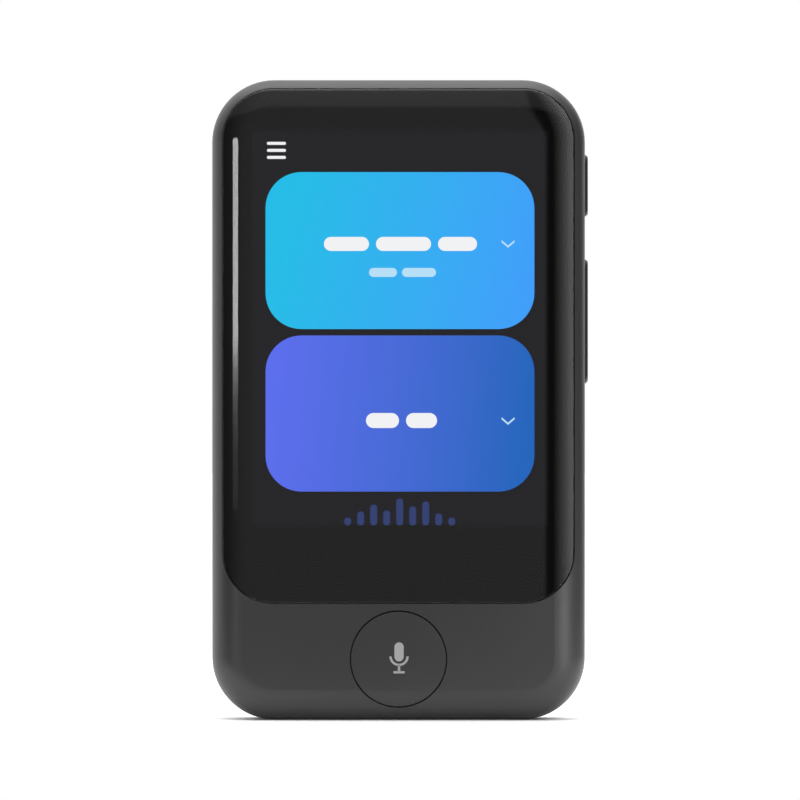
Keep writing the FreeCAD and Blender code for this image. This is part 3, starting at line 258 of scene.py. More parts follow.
def etched_plastic(name, colour, roughness, grain_mm, pit_mm):
    """Moulded plastic: grain of one size, pits of one depth, and a sheen that drifts a little."""
    material, tree, place = start_material(name)
    drift = add(tree, "ShaderNodeTexNoise", {
        "Vector": place, "Scale": 1 / (SHEEN_PATCH_MM * MM), "Detail": 3.0})
    sheen = add(tree, "ShaderNodeMapRange", {
        "Value": drift.outputs["Fac"], "From Min": NOISE_LOW, "From Max": NOISE_HIGH,
        "To Min": roughness - SHEEN_DRIFT, "To Max": roughness + SHEEN_DRIFT})
    grain = add(tree, "ShaderNodeTexNoise", {
        "Vector": place, "Scale": 1 / (grain_mm * MM), "Detail": 2.0, "Roughness": 0.6})
    pits = add(tree, "ShaderNodeBump", {
        "Height": grain.outputs["Fac"], "Strength": 0.5, "Distance": pit_mm * MM})
    # Painted shade: the colour follows the bump, darker in the pits and lighter on the peaks.
    hollow_shade = add(tree, "ShaderNodeMapRange", {
        "Value": grain.outputs["Fac"], "From Min": NOISE_LOW, "From Max": NOISE_HIGH,
        "To Min": PAINTED_PIT_SHADE, "To Max": PAINTED_PEAK_LIGHT})
    tint = add(tree, "ShaderNodeVectorMath", {
        0: linear(colour)[:3], "Scale": hollow_shade.outputs["Result"]}, operation="SCALE")
    surface = add(tree, "ShaderNodeBsdfPrincipled", {
        "Base Color": tint.outputs[0], "Roughness": sheen.outputs["Result"],
        "IOR": PLASTIC_IOR, "Normal": pits.outputs["Normal"]})
    close_material(tree, surface)
    return material


satin_black = etched_plastic(
    "etched_black_polycarbonate", "#29292A", roughness=0.38, grain_mm=0.15, pit_mm=0.003)
dress(satin_black, "front_housing", "talk_button")
matt_black = etched_plastic(
    "coarse_etched_black_polycarbonate", "#1E1E1F", roughness=0.50, grain_mm=0.30, pit_mm=0.008)
dress(matt_black, "rear_cover")

# Side keys and card tray: the same plastic as the rear, polished a little where fingers
# rub. Their closer grain gives a tighter sheen than the housing's.
key_black = etched_plastic(
    "fine_etched_black_polycarbonate", "#1C1C1D", roughness=0.34, grain_mm=0.12, pit_mm=0.002)
dress(key_black, "power_button", "volume_rocker", "sim_tray")

# Cover glass: hardened glass, ground to the pebble's curve round its edge and polished. A
# dense skin stands for the CAD glass, so that mirrored light bends evenly. Its rings crowd
# towards the rim, as a power of the way in, and the last ones break its sharp edge.
glass_low, glass_high = (np.array(corner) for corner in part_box("cover_glass"))
shell_low, shell_high = (np.array(corner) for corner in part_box("front_housing"))
BODY_CORNER = 9.0 * MM
PILLOW_INSET = 6.3 * MM
PILLOW_DEPTH = 3.126 * MM
GLASS_CORNER = 7.3 * MM
GLASS_EDGE_BREAK = 0.08 * MM
EDGE_BREAK_START = GLASS_EDGE_BREAK * 0.3
INNERMOST_INSET = GLASS_CORNER * 0.985
RIM_CROWDING = 1.3
CORNER_STEPS = 48
RIM_STEPS = 56
CREASE_ANGLE = math.radians(32)
GLASS_IOR = 1.5
HAZE_PATCH_MM = 30


def rounded_outline(half_x, half_z, corner, steps=CORNER_STEPS):
    """Anticlockwise (x, z) points round a rectangle with corner arcs.

    A corner's points are its arc centre plus the radius, turned through its quarter turn.
    """
    quarters = np.arange(4)[:, None] * math.pi / 2
    angles = (np.linspace(0, math.pi / 2, steps) + quarters).ravel()
    centre_x = np.repeat([1, -1, -1, 1], steps) * (half_x - corner)
    centre_z = np.repeat([1, 1, -1, -1], steps) * (half_z - corner)
    return np.stack([
        centre_x + corner * np.cos(angles), centre_z + corner * np.sin(angles)], axis=1)


def pillow_depth(x, z):
    """Depth of the pillowed front below its flat, at any place.

    With s the distance inside the body's rounded outline, a the inset and b the depth of the
    pillow, it is b (1 - sqrt(1 - (1 - s / a)^2)) while s is under a, and nothing further in.
    """
    half_x, half_z = shell_high[0], (shell_high[2] - shell_low[2]) / 2
    over_x = np.abs(x) - (half_x - BODY_CORNER)
    over_z = np.abs(z - half_z) - (half_z - BODY_CORNER)
    outside = np.hypot(np.maximum(over_x, 0), np.maximum(over_z, 0))
    inside = BODY_CORNER - outside - np.minimum(np.maximum(over_x, over_z), 0)
    part = np.clip(1 - inside / PILLOW_INSET, 0, 1)
    return PILLOW_DEPTH * (1 - np.sqrt(1 - part ** 2))


def skin(name, rings, material, body, smooth=True):
    """Closed mesh through rings of equal counts, joined by quads, with a face over each end."""
    rings = np.asarray(rings)
    count, steps = rings.shape[:2]
    here = np.arange(steps)
    there = (here + 1) % steps
    low = (np.arange(count - 1) * steps)[:, None]
    quads = np.stack([low + here, low + steps + here, low + steps + there, low + there], axis=-1)
    faces = quads.reshape(-1, 4).tolist()
    faces.append(here.tolist())
    faces.append((here[::-1] + (count - 1) * steps).tolist())
    mesh = bpy.data.meshes.new(name)
    mesh.from_pydata(rings.reshape(-1, 3).tolist(), [], faces)
    mesh.update()
    if smooth:
        mesh.shade_smooth()
        mesh.set_sharp_from_angle(angle=CREASE_ANGLE)
    mesh.materials.append(material)
    item = bpy.data.objects.new(name, mesh)
    bpy.context.collection.objects.link(item)
    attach(item, body)
    return item


def clear_glass(name, colour, roughness, ior=GLASS_IOR):
    """Clear body whose polish drifts by a tenth of its roughness either way."""
    material, tree, place = start_material(name)
    haze = add(tree, "ShaderNodeTexNoise", {
        "Vector": place, "Scale": 1 / (HAZE_PATCH_MM * MM), "Detail": 0.0})
    polish = add(tree, "ShaderNodeMapRange", {
        "Value": haze.outputs["Fac"], "From Min": NOISE_LOW, "From Max": NOISE_HIGH,
        "To Min": roughness * 0.9, "To Max": roughness * 1.1})
    surface = add(tree, "ShaderNodeBsdfPrincipled", {
        "Base Color": linear(colour), "Roughness": polish.outputs["Result"],
        "IOR": ior, "Transmission Weight": 1.0})
    close_material(tree, surface)
    return material


cover_clear = clear_glass("polished_hardened_glass", "#FAFBFC", roughness=0.02)
glass_half_x = glass_high[0]
glass_half_z = (glass_high[2] - glass_low[2]) / 2
glass_middle = (glass_high[2] + glass_low[2]) / 2
glass_back = glass_high[1]


def glass_ring(inset, drop=0.0):
    """Outline of the glass moved inwards and laid on the pillowed front, lowered by a drop."""
    outline = rounded_outline(glass_half_x - inset, glass_half_z - inset, GLASS_CORNER - inset)
    x, z = outline[:, 0], outline[:, 1] + glass_middle
    return np.stack([x, shell_low[1] + pillow_depth(x, z) + drop, z], axis=1)


way_in = np.linspace(1, 0, RIM_STEPS) ** RIM_CROWDING
insets = GLASS_EDGE_BREAK + (INNERMOST_INSET - GLASS_EDGE_BREAK) * way_in
front_rings = [glass_ring(inset) for inset in insets]
front_rings.append(glass_ring(EDGE_BREAK_START, EDGE_BREAK_START))
front_rings.append(glass_ring(0.0, GLASS_EDGE_BREAK))
back_ring = front_rings[-1].copy()
back_ring[:, 1] = glass_back
glass = skin("cover_glass_polished", front_rings + [back_ring], cover_clear, "housing")
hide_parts("cover_glass")

# Screen print: black ink, screen-printed on the back of the glass, hides the tape and the
# frame. It is even and dead matt, so the only light there is what the glass mirrors. It is
# drawn as a thin plate just inside the glass.
INK_BORDER = 0.10 * MM
INK_INSIDE_GLASS = 0.08 * MM
INK_THICKNESS = 0.03 * MM
INK_MOTTLE_MM = 2.0
ink_black, tree, place = start_material("screen_printed_black_ink")
mottle = add(tree, "ShaderNodeTexNoise", {
    "Vector": place, "Scale": 1 / (INK_MOTTLE_MM * MM), "Detail": 2.0})
shade = add(tree, "ShaderNodeMapRange", {
    "Value": mottle.outputs["Fac"], "To Min": 0.85, "To Max": 0.95})
close_material(tree, add(tree, "ShaderNodeBsdfPrincipled", {
    "Base Color": linear("#000000"), "Roughness": shade.outputs["Result"],
    "Specular IOR Level": 0.0}))
ink_rings = [glass_ring(INK_BORDER), glass_ring(INK_BORDER)]
ink_rings[0][:, 1] = glass_back - INK_INSIDE_GLASS
ink_rings[1][:, 1] = glass_back - INK_INSIDE_GLASS + INK_THICKNESS
ink = skin("glass_black_print", ink_rings, ink_black, "housing", smooth=False)

# Screen picture: the light of the panel, as thin plates just in front of the ink. Two graded
# cards with bars for words and a chevron each, a list sign above and a sound meter below.
# Places and sizes in px are those of the photograph, and a box is left, top, right, bottom.
PICTURE_LIFT = 0.03 * MM
SIGN_LIFT = 0.03 * MM
PLATE_THICKNESS = 0.015 * MM
PICTURE_FRONT = glass_back - INK_INSIDE_GLASS - PICTURE_LIFT
IDLE_FRONT = PICTURE_FRONT + PLATE_THICKNESS
CARD_FRONT = PICTURE_FRONT - PLATE_THICKNESS / 2
SIGN_FRONT = PICTURE_FRONT - SIGN_LIFT
SCREEN_TOP_PX, SCREEN_BOTTOM_PX, SCREEN_SIDE_PX = 131.0, 525.4, 148.0
IDLE_AREA_PX = (PHOTO_PX / 2 - SCREEN_SIDE_PX, SCREEN_TOP_PX,
                PHOTO_PX / 2 + SCREEN_SIDE_PX, SCREEN_BOTTOM_PX)
IDLE_CORNER_PX = 1.0
CARD_LEFT_PX, CARD_RIGHT_PX, CARD_CORNER_PX = 265.6, 534.3, 36.0
UPPER_CARD_TOP_PX, UPPER_CARD_BOTTOM_PX = 172.2, 329.1
LOWER_CARD_TOP_PX, LOWER_CARD_BOTTOM_PX = 335.5, 491.5
WORD_BOXES_PX = (
    (324, 237, 369, 251), (376, 237, 431, 251), (438, 237, 477, 251),
    (366, 413, 399, 428), (406, 413, 437, 428))
SMALL_WORD_BOXES_PX = ((369, 268, 397, 277), (402, 268, 436, 277))
LIST_BOXES_PX = ((267, 142, 286, 145), (267, 149, 286, 152), (267, 156, 286, 159))
CHEVRON_PLACES_PX = ((508, 244), (508, 421))
CHEVRON_HALF_PX, CHEVRON_HEIGHT_PX, CHEVRON_STROKE_PX = 6.5, 5.5, 2.2
METER_MIDDLE_PX, METER_PITCH_PX, METER_BAR_PX = 399.7, 13, 7
METER_HEIGHTS_PX = (8, 14, 21, 15, 27, 19, 24, 12, 8)
PANEL_CORNER_STEPS = 12
PILL_CORNER = 0.999


def to_screen(outline):
    """Outline in pixels with Z upwards, carried along the sight lines to the picture's plane.

    The camera's distance to the picture, over its distance to the device's middle plane, is
    the share of its distance from the camera's axis that each point keeps.
    """
    closer = (CAMERA_DISTANCE + PICTURE_FRONT) / CAMERA_DISTANCE
    x = camera.location.x + (photo_x(outline[:, 0]) - camera.location.x) * closer
    z = camera.location.z + (photo_z(-outline[:, 1]) - camera.location.z) * closer
    return np.stack([x, z], axis=1)


def plates(name, outlines, material, front, body="housing", thickness=PLATE_THICKNESS):
    """Thin flat plates facing the front, one to each anticlockwise outline of (x, z)."""
    points, faces = [], []
    for outline in outlines:
        steps, start = len(outline), len(points)
        for y in (front, front + thickness):
            points += np.insert(outline, 1, y, axis=1).tolist()
        here = np.arange(steps)
        there = (here + 1) % steps
        faces.append((start + here).tolist())
        faces.append((start + steps + here[::-1]).tolist())
        faces += (np.stack([here, here + steps, there + steps, there], axis=1) + start).tolist()
    mesh = bpy.data.meshes.new(name)
    mesh.from_pydata(points, [], faces)
    mesh.update()
    mesh.materials.append(material)
    item = bpy.data.objects.new(name, mesh)
    bpy.context.collection.objects.link(item)
    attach(item, body)
    return item


def panel(left, top, right, bottom, corner=None):
    """Rounded rectangle in pixels with Z upwards: a pill unless it has a corner radius."""
    half_x, half_z = (right - left) / 2, (bottom - top) / 2
    corner = corner or min(half_x, half_z) * PILL_CORNER
    outline = rounded_outline(half_x, half_z, corner, PANEL_CORNER_STEPS)
    return outline + ((left + right) / 2, -(top + bottom) / 2)


def chevron(centre_x, centre_y):
    """Bent stroke of even thickness, its point down."""
    low_edge = np.array([
        (-CHEVRON_HALF_PX, CHEVRON_HEIGHT_PX / 2), (0, -CHEVRON_HEIGHT_PX / 2),
        (CHEVRON_HALF_PX, CHEVRON_HEIGHT_PX / 2)])
    half_stroke = (0, CHEVRON_STROKE_PX / 2)
    outline = np.concatenate([low_edge - half_stroke, low_edge[::-1] + half_stroke])
    return outline + (centre_x, -centre_y)


def meter_bar(place, height):
    """Bar of the sound meter, so many pitches to the right of its middle."""
    middle = METER_MIDDLE_PX + METER_PITCH_PX * place
    return panel(middle - METER_BAR_PX / 2, SCREEN_BOTTOM_PX - height,
                 middle + METER_BAR_PX / 2, SCREEN_BOTTOM_PX)


def panel_light(name, left, right, lean=0.0):
    """Light of the panel, graded across the cards and leaning a little with height."""
    material, tree, place = start_material(name)
    parts = add(tree, "ShaderNodeSeparateXYZ", {"Vector": place}).outputs
    slope = add(tree, "ShaderNodeMath", {
        0: parts["Z"], 1: -lean, 2: parts["X"]}, operation="MULTIPLY_ADD")
    across = add(tree, "ShaderNodeMapRange", {
        "Value": slope.outputs[0],
        "From Min": photo_x(CARD_LEFT_PX) - lean * photo_z(UPPER_CARD_BOTTOM_PX),
        "From Max": photo_x(CARD_RIGHT_PX) - lean * photo_z(UPPER_CARD_BOTTOM_PX)})
    colour = add(tree, "ShaderNodeMix", {
        "Factor": across.outputs["Result"], "A": linear(left), "B": linear(right)},
        data_type="RGBA")
    close_material(tree, add(tree, "ShaderNodeEmission", {
        "Color": colour.outputs["Result"], "Strength": 1.0}))
    return material


sky_light = panel_light("panel_light_sky", "#0ABEEA", "#389DFF", lean=0.25)
indigo_light = panel_light("panel_light_indigo", "#5A6CF2", "#0A62BE", lean=0.1)
white_light = panel_light("panel_light_white", "#F6F6F8", "#F6F6F8")
pale_light = panel_light("panel_light_pale_blue", "#B9E3FB", "#B9E3FB")
meter_light = panel_light("panel_light_dim_indigo", "#28386E", "#28386E")
idle_light = panel_light("panel_light_leak", "#0C0B12", "#0C0B12")
upper_card = panel(
    CARD_LEFT_PX, UPPER_CARD_TOP_PX, CARD_RIGHT_PX, UPPER_CARD_BOTTOM_PX, CARD_CORNER_PX)
lower_card = panel(
    CARD_LEFT_PX, LOWER_CARD_TOP_PX, CARD_RIGHT_PX, LOWER_CARD_BOTTOM_PX, CARD_CORNER_PX)
meter_bars = [meter_bar(place, height) for place, height in enumerate(METER_HEIGHTS_PX, -4)]
screen_pieces = {
    "screen_idle_area": ([panel(*IDLE_AREA_PX, IDLE_CORNER_PX)], idle_light, IDLE_FRONT),
    "screen_card_upper": ([upper_card], sky_light, CARD_FRONT),
    "screen_card_lower": ([lower_card], indigo_light, CARD_FRONT),
    "screen_words": ([panel(*box) for box in WORD_BOXES_PX], white_light, SIGN_FRONT),
    "screen_small_words": (
        [panel(*box) for box in SMALL_WORD_BOXES_PX], pale_light, SIGN_FRONT),
    "screen_list_sign": ([panel(*box) for box in LIST_BOXES_PX], white_light, SIGN_FRONT),
    "screen_chevrons": (
        [chevron(*place) for place in CHEVRON_PLACES_PX], pale_light, SIGN_FRONT),
    "screen_sound_meter": (meter_bars, meter_light, CARD_FRONT),
}
for name, (outlines, material, front) in screen_pieces.items():
    piece = plates(name, [to_screen(outline) for outline in outlines], material, front)

# Talk sign: a microphone, pad-printed in light grey ink on the talk button. The print is
# satin and slightly uneven, and rides with the button. Its sizes are in px from its middle,
# and the picture's plane is near enough to the button's to place it by.
TALK_SIGN_PX = (399.05, 657.5)
HEAD_BOX_PX = (-4.6, -15.5, 4.6, 3.5)
CRADLE_OUTER_PX, CRADLE_INNER_PX, CRADLE_RAISED_PX = 9.6, 7.4, 1.5
CRADLE_STEPS = 24
STEM_BOX_PX, STEM_CORNER_PX = (-1.2, 7.2, 1.2, 13.8), 0.2
FOOT_BOX_PX, FOOT_CORNER_PX = (-5.6, 13.2, 5.6, 15.5), 0.6
PRINT_THICKNESS = 0.015 * MM
PRINT_PROUD = PRINT_THICKNESS * 0.6
PRINT_MOTTLE_MM = 0.12
grey_ink, tree, place = start_material("pad_printed_grey_ink")
cover = add(tree, "ShaderNodeTexNoise", {
    "Vector": place, "Scale": 1 / (PRINT_MOTTLE_MM * MM), "Detail": 3.0})
tone = add(tree, "ShaderNodeMapRange", {
    "Value": cover.outputs["Fac"], "To Min": 0.92, "To Max": 1.06})
tint = add(tree, "ShaderNodeVectorMath", {
    0: linear("#A9A9AA")[:3], "Scale": tone.outputs["Result"]}, operation="SCALE")
close_material(tree, add(tree, "ShaderNodeBsdfPrincipled", {
    "Base Color": tint.outputs[0], "Roughness": 0.5, "IOR": 1.5}))


def cradle():
    """Half ring that opens upwards: the lower half turn, out on one radius, back on the other."""
    angles = np.linspace(math.pi, 2 * math.pi, CRADLE_STEPS)
    turn = np.stack([np.cos(angles), np.sin(angles)], axis=1)
    ring = np.concatenate([turn * CRADLE_OUTER_PX, turn[::-1] * CRADLE_INNER_PX])
    return ring + (0, CRADLE_RAISED_PX)


sign_outlines = [
    panel(*HEAD_BOX_PX), cradle(), panel(*STEM_BOX_PX, STEM_CORNER_PX),
    panel(*FOOT_BOX_PX, FOOT_CORNER_PX)]
sign_middle = (TALK_SIGN_PX[0], -TALK_SIGN_PX[1])
sign_outlines = [to_screen(outline + sign_middle) for outline in sign_outlines]
sign = plates(
    "talk_sign", sign_outlines, grey_ink, shell_low[1] - PRINT_PROUD, "talk", PRINT_THICKNESS)

# Steel and aluminium parts: each metal shows how it was worked. Rolled sheet has long fine
# lines, tinned and plated parts have short ones, and turned screw heads and the trim ring,
# which is anodised dark, have a fine even grain.
def worked_metal(name, colour, roughness, line_mm, long_mm, depth_mm):
    """Metal with tool lines: noise squeezed across the lines and stretched along Z."""
    material, tree, place = start_material(name)
    across, along = 1 / (line_mm * MM), 1 / (long_mm * MM)
    lines = add(tree, "ShaderNodeVectorMath", {
        0: place, 1: (across, across, along)}, operation="MULTIPLY")
    streak = add(tree, "ShaderNodeTexNoise", {
        "Vector": lines.outputs[0], "Scale": 1.0, "Detail": 3.0})
    rough = add(tree, "ShaderNodeMapRange", {
        "Value": streak.outputs["Fac"], "From Min": NOISE_LOW, "From Max": NOISE_HIGH,
        "To Min": roughness * 0.8, "To Max": roughness * 1.25})
    tone = add(tree, "ShaderNodeMapRange", {
        "Value": streak.outputs["Fac"], "From Min": NOISE_LOW, "From Max": NOISE_HIGH,
        "To Min": 0.9, "To Max": 1.06})
    tint = add(tree, "ShaderNodeVectorMath", {
        0: linear(colour)[:3], "Scale": tone.outputs["Result"]}, operation="SCALE")
    scratch = add(tree, "ShaderNodeBump", {
        "Height": streak.outputs["Fac"], "Strength": 0.4, "Distance": depth_mm * MM})
    close_material(tree, add(tree, "ShaderNodeBsdfPrincipled", {
        "Base Color": tint.outputs[0], "Metallic": 1.0, "Roughness": rough.outputs["Result"],
        "Normal": scratch.outputs["Normal"]}))
    return material


rolled_sheet = worked_metal("rolled_stainless_sheet", "#B9BABC", roughness=0.30,
                            line_mm=0.08, long_mm=6.0, depth_mm=0.002)
dress(rolled_sheet, "chassis_plate", "side_key_bracket")
tinned_steel = worked_metal("tinned_shield_steel", "#C6C7C8", roughness=0.34,
                            line_mm=0.25, long_mm=1.2, depth_mm=0.003)
dress(tinned_steel, "processor_shield", "radio_shield", "sim_reader")
nickel_plate = worked_metal("nickel_plated_steel", "#BDBBB6", roughness=0.22,
                            line_mm=0.10, long_mm=0.4, depth_mm=0.001)
dress(nickel_plate, "usb_socket_shell", "lower_microphone", "top_microphone")
zinc_plate = worked_metal("zinc_plated_turned_steel", "#A9ABB0", roughness=0.32,
                          line_mm=0.06, long_mm=0.06, depth_mm=0.002)
dress(zinc_plate, "chassis_screws", "board_screws", "lower_board_screws")
dark_anodised = worked_metal("dark_anodised_turned_aluminium", "#3C3D40", roughness=0.28,
                             line_mm=0.05, long_mm=0.05, depth_mm=0.001)
dress(dark_anodised, "camera_ring")

# Woven speaker mesh: black coated steel wire. Crossed waves make the weave, whose gaps are
# painted darker than its wires, as painted shade in the openings.
WIRE_PITCH_MM = 0.18
WIRE_HEIGHT_MM = 0.03


def band_scale(pitch_mm):
    """Scale that repeats a wave at a pitch, as its phase in radians is 20 x scale x place."""
    return math.pi / (10 * pitch_mm * MM)


weave_black, tree, place = start_material("woven_black_coated_wire")
waves = [add(tree, "ShaderNodeTexWave", {
    "Vector": place, "Scale": band_scale(WIRE_PITCH_MM)}, bands_direction=direction)
    for direction in ("X", "Z")]
weave = add(tree, "ShaderNodeMath", {
    0: waves[0].outputs["Fac"], 1: waves[1].outputs["Fac"]}, operation="MAXIMUM")
# Painted shade: the gaps between the wires are darkened to a fifth of the wire's colour.
weave_gap_shade = add(tree, "ShaderNodeMapRange", {
    "Value": weave.outputs[0], "To Min": 0.2, "To Max": 1.0})
tint = add(tree, "ShaderNodeVectorMath", {
    0: linear("#2A2A2C")[:3], "Scale": weave_gap_shade.outputs["Result"]}, operation="SCALE")
strands = add(tree, "ShaderNodeBump", {
    "Height": weave.outputs[0], "Strength": 0.6, "Distance": WIRE_HEIGHT_MM * MM})
close_material(tree, add(tree, "ShaderNodeBsdfPrincipled", {
    "Base Color": tint.outputs[0], "Roughness": 0.45, "Metallic": 0.4,
    "Normal": strands.outputs["Normal"]}))
dress(weave_black, "speaker_mesh")

# Camera and lamp at the back: a coated glass window, a coated lens dome in a ridged barrel
# under it, a clear moulded lamp lens, and a yellow phosphor chip that shows through it. The
# coatings mirror less than bare glass, so the window and the dome have a low IOR.
COATED_WINDOW_IOR, COATED_LENS_IOR = 1.28, 1.36
LENS_STEPS = 64
LENS_RADIUS = 1.55 * MM
LENS_HEIGHT = 0.36 * MM
LENS_POLE = 0.06
DOME_STEPS = 20
DUST_PATCH_MM = 0.9
BARREL_RADIUS = 2.35 * MM
BARREL_STEP = 0.26 * MM
BARREL_RISE = 0.10 * MM
BARREL_STEPS = 3
TOP_RIDGE_RISES = 2.2
RIDGE_TREAD = BARREL_STEP * 0.8
SUNK_FOOT = 0.05 * MM
PHOSPHOR_GRAIN_MM = 0.05
window_clear = clear_glass(
    "polished_coated_camera_glass", "#F4F6F8", roughness=0.015, ior=COATED_WINDOW_IOR)
dress(window_clear, "camera_window")
lamp_clear = clear_glass("moulded_clear_polycarbonate", "#F2F2EE", roughness=0.10)
dress(lamp_clear, "flash_lens")
module_black = etched_plastic(
    "moulded_black_camera_barrel", "#0C0C0D", roughness=0.60, grain_mm=0.20, pit_mm=0.004)
dress(module_black, "camera_module")
barrel_black = etched_plastic(
    "anti_reflex_black_barrel", "#08080A", roughness=0.70, grain_mm=0.08, pit_mm=0.006)
camera_low, camera_high = (np.array(corner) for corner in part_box("camera_module"))
lens_x, lens_z = (camera_low[0] + camera_high[0]) / 2, (camera_low[2] + camera_high[2]) / 2
module_face = camera_high[1]


def turned(name, profile, material, body, smooth=True):
    """Surface of revolution about the camera's axis, through (radius, y) pairs.

    A point at turn t is the axis plus radius times (cos t, sin t), at the pair's own y.
    """
    turn = np.linspace(0, 2 * math.pi, LENS_STEPS, endpoint=False)
    rings = [np.stack([lens_x + radius * np.cos(turn), np.full(LENS_STEPS, y),
                       lens_z + radius * np.sin(turn)], axis=1) for radius, y in profile]
    return skin(name, rings, material, body, smooth)


coated, tree, place = start_material("blue_coated_ground_lens")
edge_on = add(tree, "ShaderNodeLayerWeight", {"Blend": 0.35})
# Painted reflection: the coating's dark tint turns indigo towards the dome's edge, where it faces
# away from the view; the dark tint itself is the coating's own.
film_and_painted_glint = add(tree, "ShaderNodeMix", {
    "Factor": edge_on.outputs["Facing"], "A": linear("#05060A"), "B": linear("#1C1B46")},
    data_type="RGBA")
dust = add(tree, "ShaderNodeTexNoise", {
    "Vector": place, "Scale": 1 / (DUST_PATCH_MM * MM), "Detail": 2.0})
shine = add(tree, "ShaderNodeMapRange", {
    "Value": dust.outputs["Fac"], "To Min": 0.03, "To Max": 0.07})
close_material(tree, add(tree, "ShaderNodeBsdfPrincipled", {
    "Base Color": film_and_painted_glint.outputs["Result"], "Roughness": shine.outputs["Result"],
    "IOR": COATED_LENS_IOR}))
# The dome is radius times sin t wide and height times cos t high, up to a small flat cap.
dome = [(LENS_RADIUS, module_face - SUNK_FOOT)]
for t in np.linspace(math.pi / 2, LENS_POLE, DOME_STEPS):
    dome.append((LENS_RADIUS * math.sin(t), module_face + LENS_HEIGHT * math.cos(t)))
lens = turned("camera_lens_dome", dome, coated, "housing")
# The barrel steps down towards the lens: each ridge is a flat tread and a steep riser.
barrel_profile = [(BARREL_RADIUS, module_face - SUNK_FOOT)]
for step in range(BARREL_STEPS):
    radius = BARREL_RADIUS - step * BARREL_STEP
    y = module_face + (TOP_RIDGE_RISES - step) * BARREL_RISE
    barrel_profile += [(radius, y), (radius - RIDGE_TREAD, y)]
barrel = turned("camera_barrel_ridges", barrel_profile, barrel_black, "housing", smooth=False)
phosphor, tree, place = start_material("sintered_yellow_phosphor")
grain = add(tree, "ShaderNodeTexNoise", {
    "Vector": place, "Scale": 1 / (PHOSPHOR_GRAIN_MM * MM), "Detail": 2.0})
tone = add(tree, "ShaderNodeMapRange", {
    "Value": grain.outputs["Fac"], "To Min": 0.85, "To Max": 1.1})
tint = add(tree, "ShaderNodeVectorMath", {
    0: linear("#D9C24A")[:3], "Scale": tone.outputs["Result"]}, operation="SCALE")
close_material(tree, add(tree, "ShaderNodeBsdfPrincipled", {
    "Base Color": tint.outputs[0], "Roughness": 0.6}))
dress(phosphor, "flash_led")

# Small plastic parts inside: black liquid-crystal polymer connectors and switch cases, ivory
# plungers, dark speaker boxes and the white backlight frame. The display's polariser and the
# battery's wrap are films, whose faint embossing is drawn as the same kind of grain.
connector_black = etched_plastic(
    "moulded_black_connector_polymer", "#1E1E20", roughness=0.48, grain_mm=0.10, pit_mm=0.004)
dress(connector_black, "board_connectors", "usb_socket_tongue", "talk_switch_case",
      "power_switch_case", "volume_switch_cases")
plunger_ivory = etched_plastic(
    "moulded_ivory_switch_polymer", "#CFCBBE", roughness=0.45, grain_mm=0.10, pit_mm=0.003)
dress(plunger_ivory, "talk_switch_plunger", "power_switch_plunger", "volume_switch_plungers")
speaker_black = etched_plastic(
    "moulded_black_speaker_polymer", "#202022", roughness=0.50, grain_mm=0.18, pit_mm=0.006)
dress(speaker_black, "speaker_left", "speaker_right")
light_guide = etched_plastic(
    "moulded_white_light_guide", "#E4E5E6", roughness=0.35, grain_mm=0.30, pit_mm=0.002)
dress(light_guide, "backlight_unit")
polariser = etched_plastic(
    "laminated_dark_polariser", "#15161A", roughness=0.18, grain_mm=0.40, pit_mm=0.001)
dress(polariser, "lcd_panel")
battery_wrap = etched_plastic(
    "embossed_aluminised_wrap", "#A8AAAD", roughness=0.30, grain_mm=0.60, pit_mm=0.012)
dress(battery_wrap, "battery_pack")

# Foam and tape: die-cut black foam gaskets and display tape, and white battery tape. Their
# open cells swallow light, so they look flat and soft.
PORE_DEPTH_MM = 0.03


def cut_foam(name, colour, cell_mm):
    """Cellular foam: pores of one size, darker inside as painted shade, with a dead matt skin."""
    material, tree, place = start_material(name)
    cells = add(tree, "ShaderNodeTexVoronoi", {"Vector": place, "Scale": 1 / (cell_mm * MM)})
    # Painted shade: the middle of each pore, where the bump sinks, is darkened.
    hollow_shade = add(tree, "ShaderNodeMapRange", {
        "Value": cells.outputs["Distance"], "To Min": 0.7, "To Max": 1.1})
    tint = add(tree, "ShaderNodeVectorMath", {
        0: linear(colour)[:3], "Scale": hollow_shade.outputs["Result"]}, operation="SCALE")
    pores = add(tree, "ShaderNodeBump", {
        "Height": cells.outputs["Distance"], "Strength": 0.8, "Distance": PORE_DEPTH_MM * MM})
    close_material(tree, add(tree, "ShaderNodeBsdfPrincipled", {
        "Base Color": tint.outputs[0], "Roughness": 0.9, "Normal": pores.outputs["Normal"]}))
    return material


dress(cut_foam("die_cut_black_foam", "#1B1B1C", cell_mm=0.12), "glass_tape", "speaker_gaskets")
dress(cut_foam("die_cut_white_stretch_tape", "#D8D8D4", cell_mm=0.30), "battery_tape")

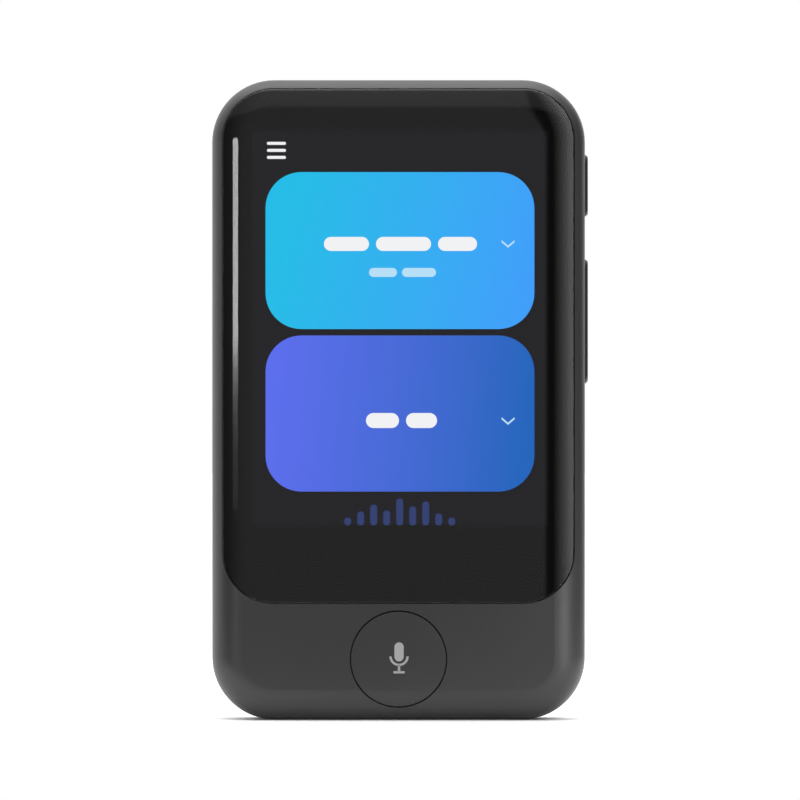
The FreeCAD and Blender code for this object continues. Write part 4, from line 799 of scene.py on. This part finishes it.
# Circuit boards and flexible circuits: green solder mask and amber film over etched copper.
# The copper shows through as paler tracks that slant across the board.
TRACK_HEIGHT_MM = 0.02
TRACK_FIELD_MM = 3.5
TRACK_LOW, TRACK_HIGH = 0.28, 0.34


def etched_circuit(name, film_colour, track_colour, pitch_mm, roughness):
    """Circuit laminate: slanting tracks, broken where slow noise says there are none.

    A diagonal wave's phase is 10 x scale x (x + y + z), so its tracks lie 1.4 pitches apart
    across the board.
    """
    material, tree, place = start_material(name)
    tracks = add(tree, "ShaderNodeTexWave", {
        "Vector": place, "Scale": band_scale(pitch_mm)}, bands_direction="DIAGONAL")
    field = add(tree, "ShaderNodeTexNoise", {
        "Vector": place, "Scale": 1 / (TRACK_FIELD_MM * MM), "Detail": 1.0})
    copper = add(tree, "ShaderNodeMath", {
        0: tracks.outputs["Fac"], 1: field.outputs["Fac"]}, operation="MULTIPLY")
    shown = add(tree, "ShaderNodeMapRange", {
        "Value": copper.outputs[0], "From Min": TRACK_LOW, "From Max": TRACK_HIGH})
    colour = add(tree, "ShaderNodeMix", {
        "Factor": shown.outputs["Result"], "A": linear(film_colour), "B": linear(track_colour)},
        data_type="RGBA")
    raised = add(tree, "ShaderNodeBump", {
        "Height": shown.outputs["Result"], "Strength": 0.5, "Distance": TRACK_HEIGHT_MM * MM})
    close_material(tree, add(tree, "ShaderNodeBsdfPrincipled", {
        "Base Color": colour.outputs["Result"], "Roughness": roughness,
        "Normal": raised.outputs["Normal"]}))
    return material


green_board = etched_circuit(
    "solder_masked_green_laminate", "#0E4A2C", "#1E6B42", pitch_mm=0.5, roughness=0.35)
dress(green_board, "main_board", "lower_board")
amber_film = etched_circuit(
    "laminated_amber_polyimide", "#B06A1E", "#D08A3A", pitch_mm=0.4, roughness=0.32)
dress(amber_film, "display_flex", "board_link_flex", "side_key_flex", "antenna_flex",
      "battery_lead")

# Every node has a material by now.
undressed = [name for name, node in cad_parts.items() if not node.data.materials]
if undressed:
    raise ValueError(f"no material yet on {undressed}")
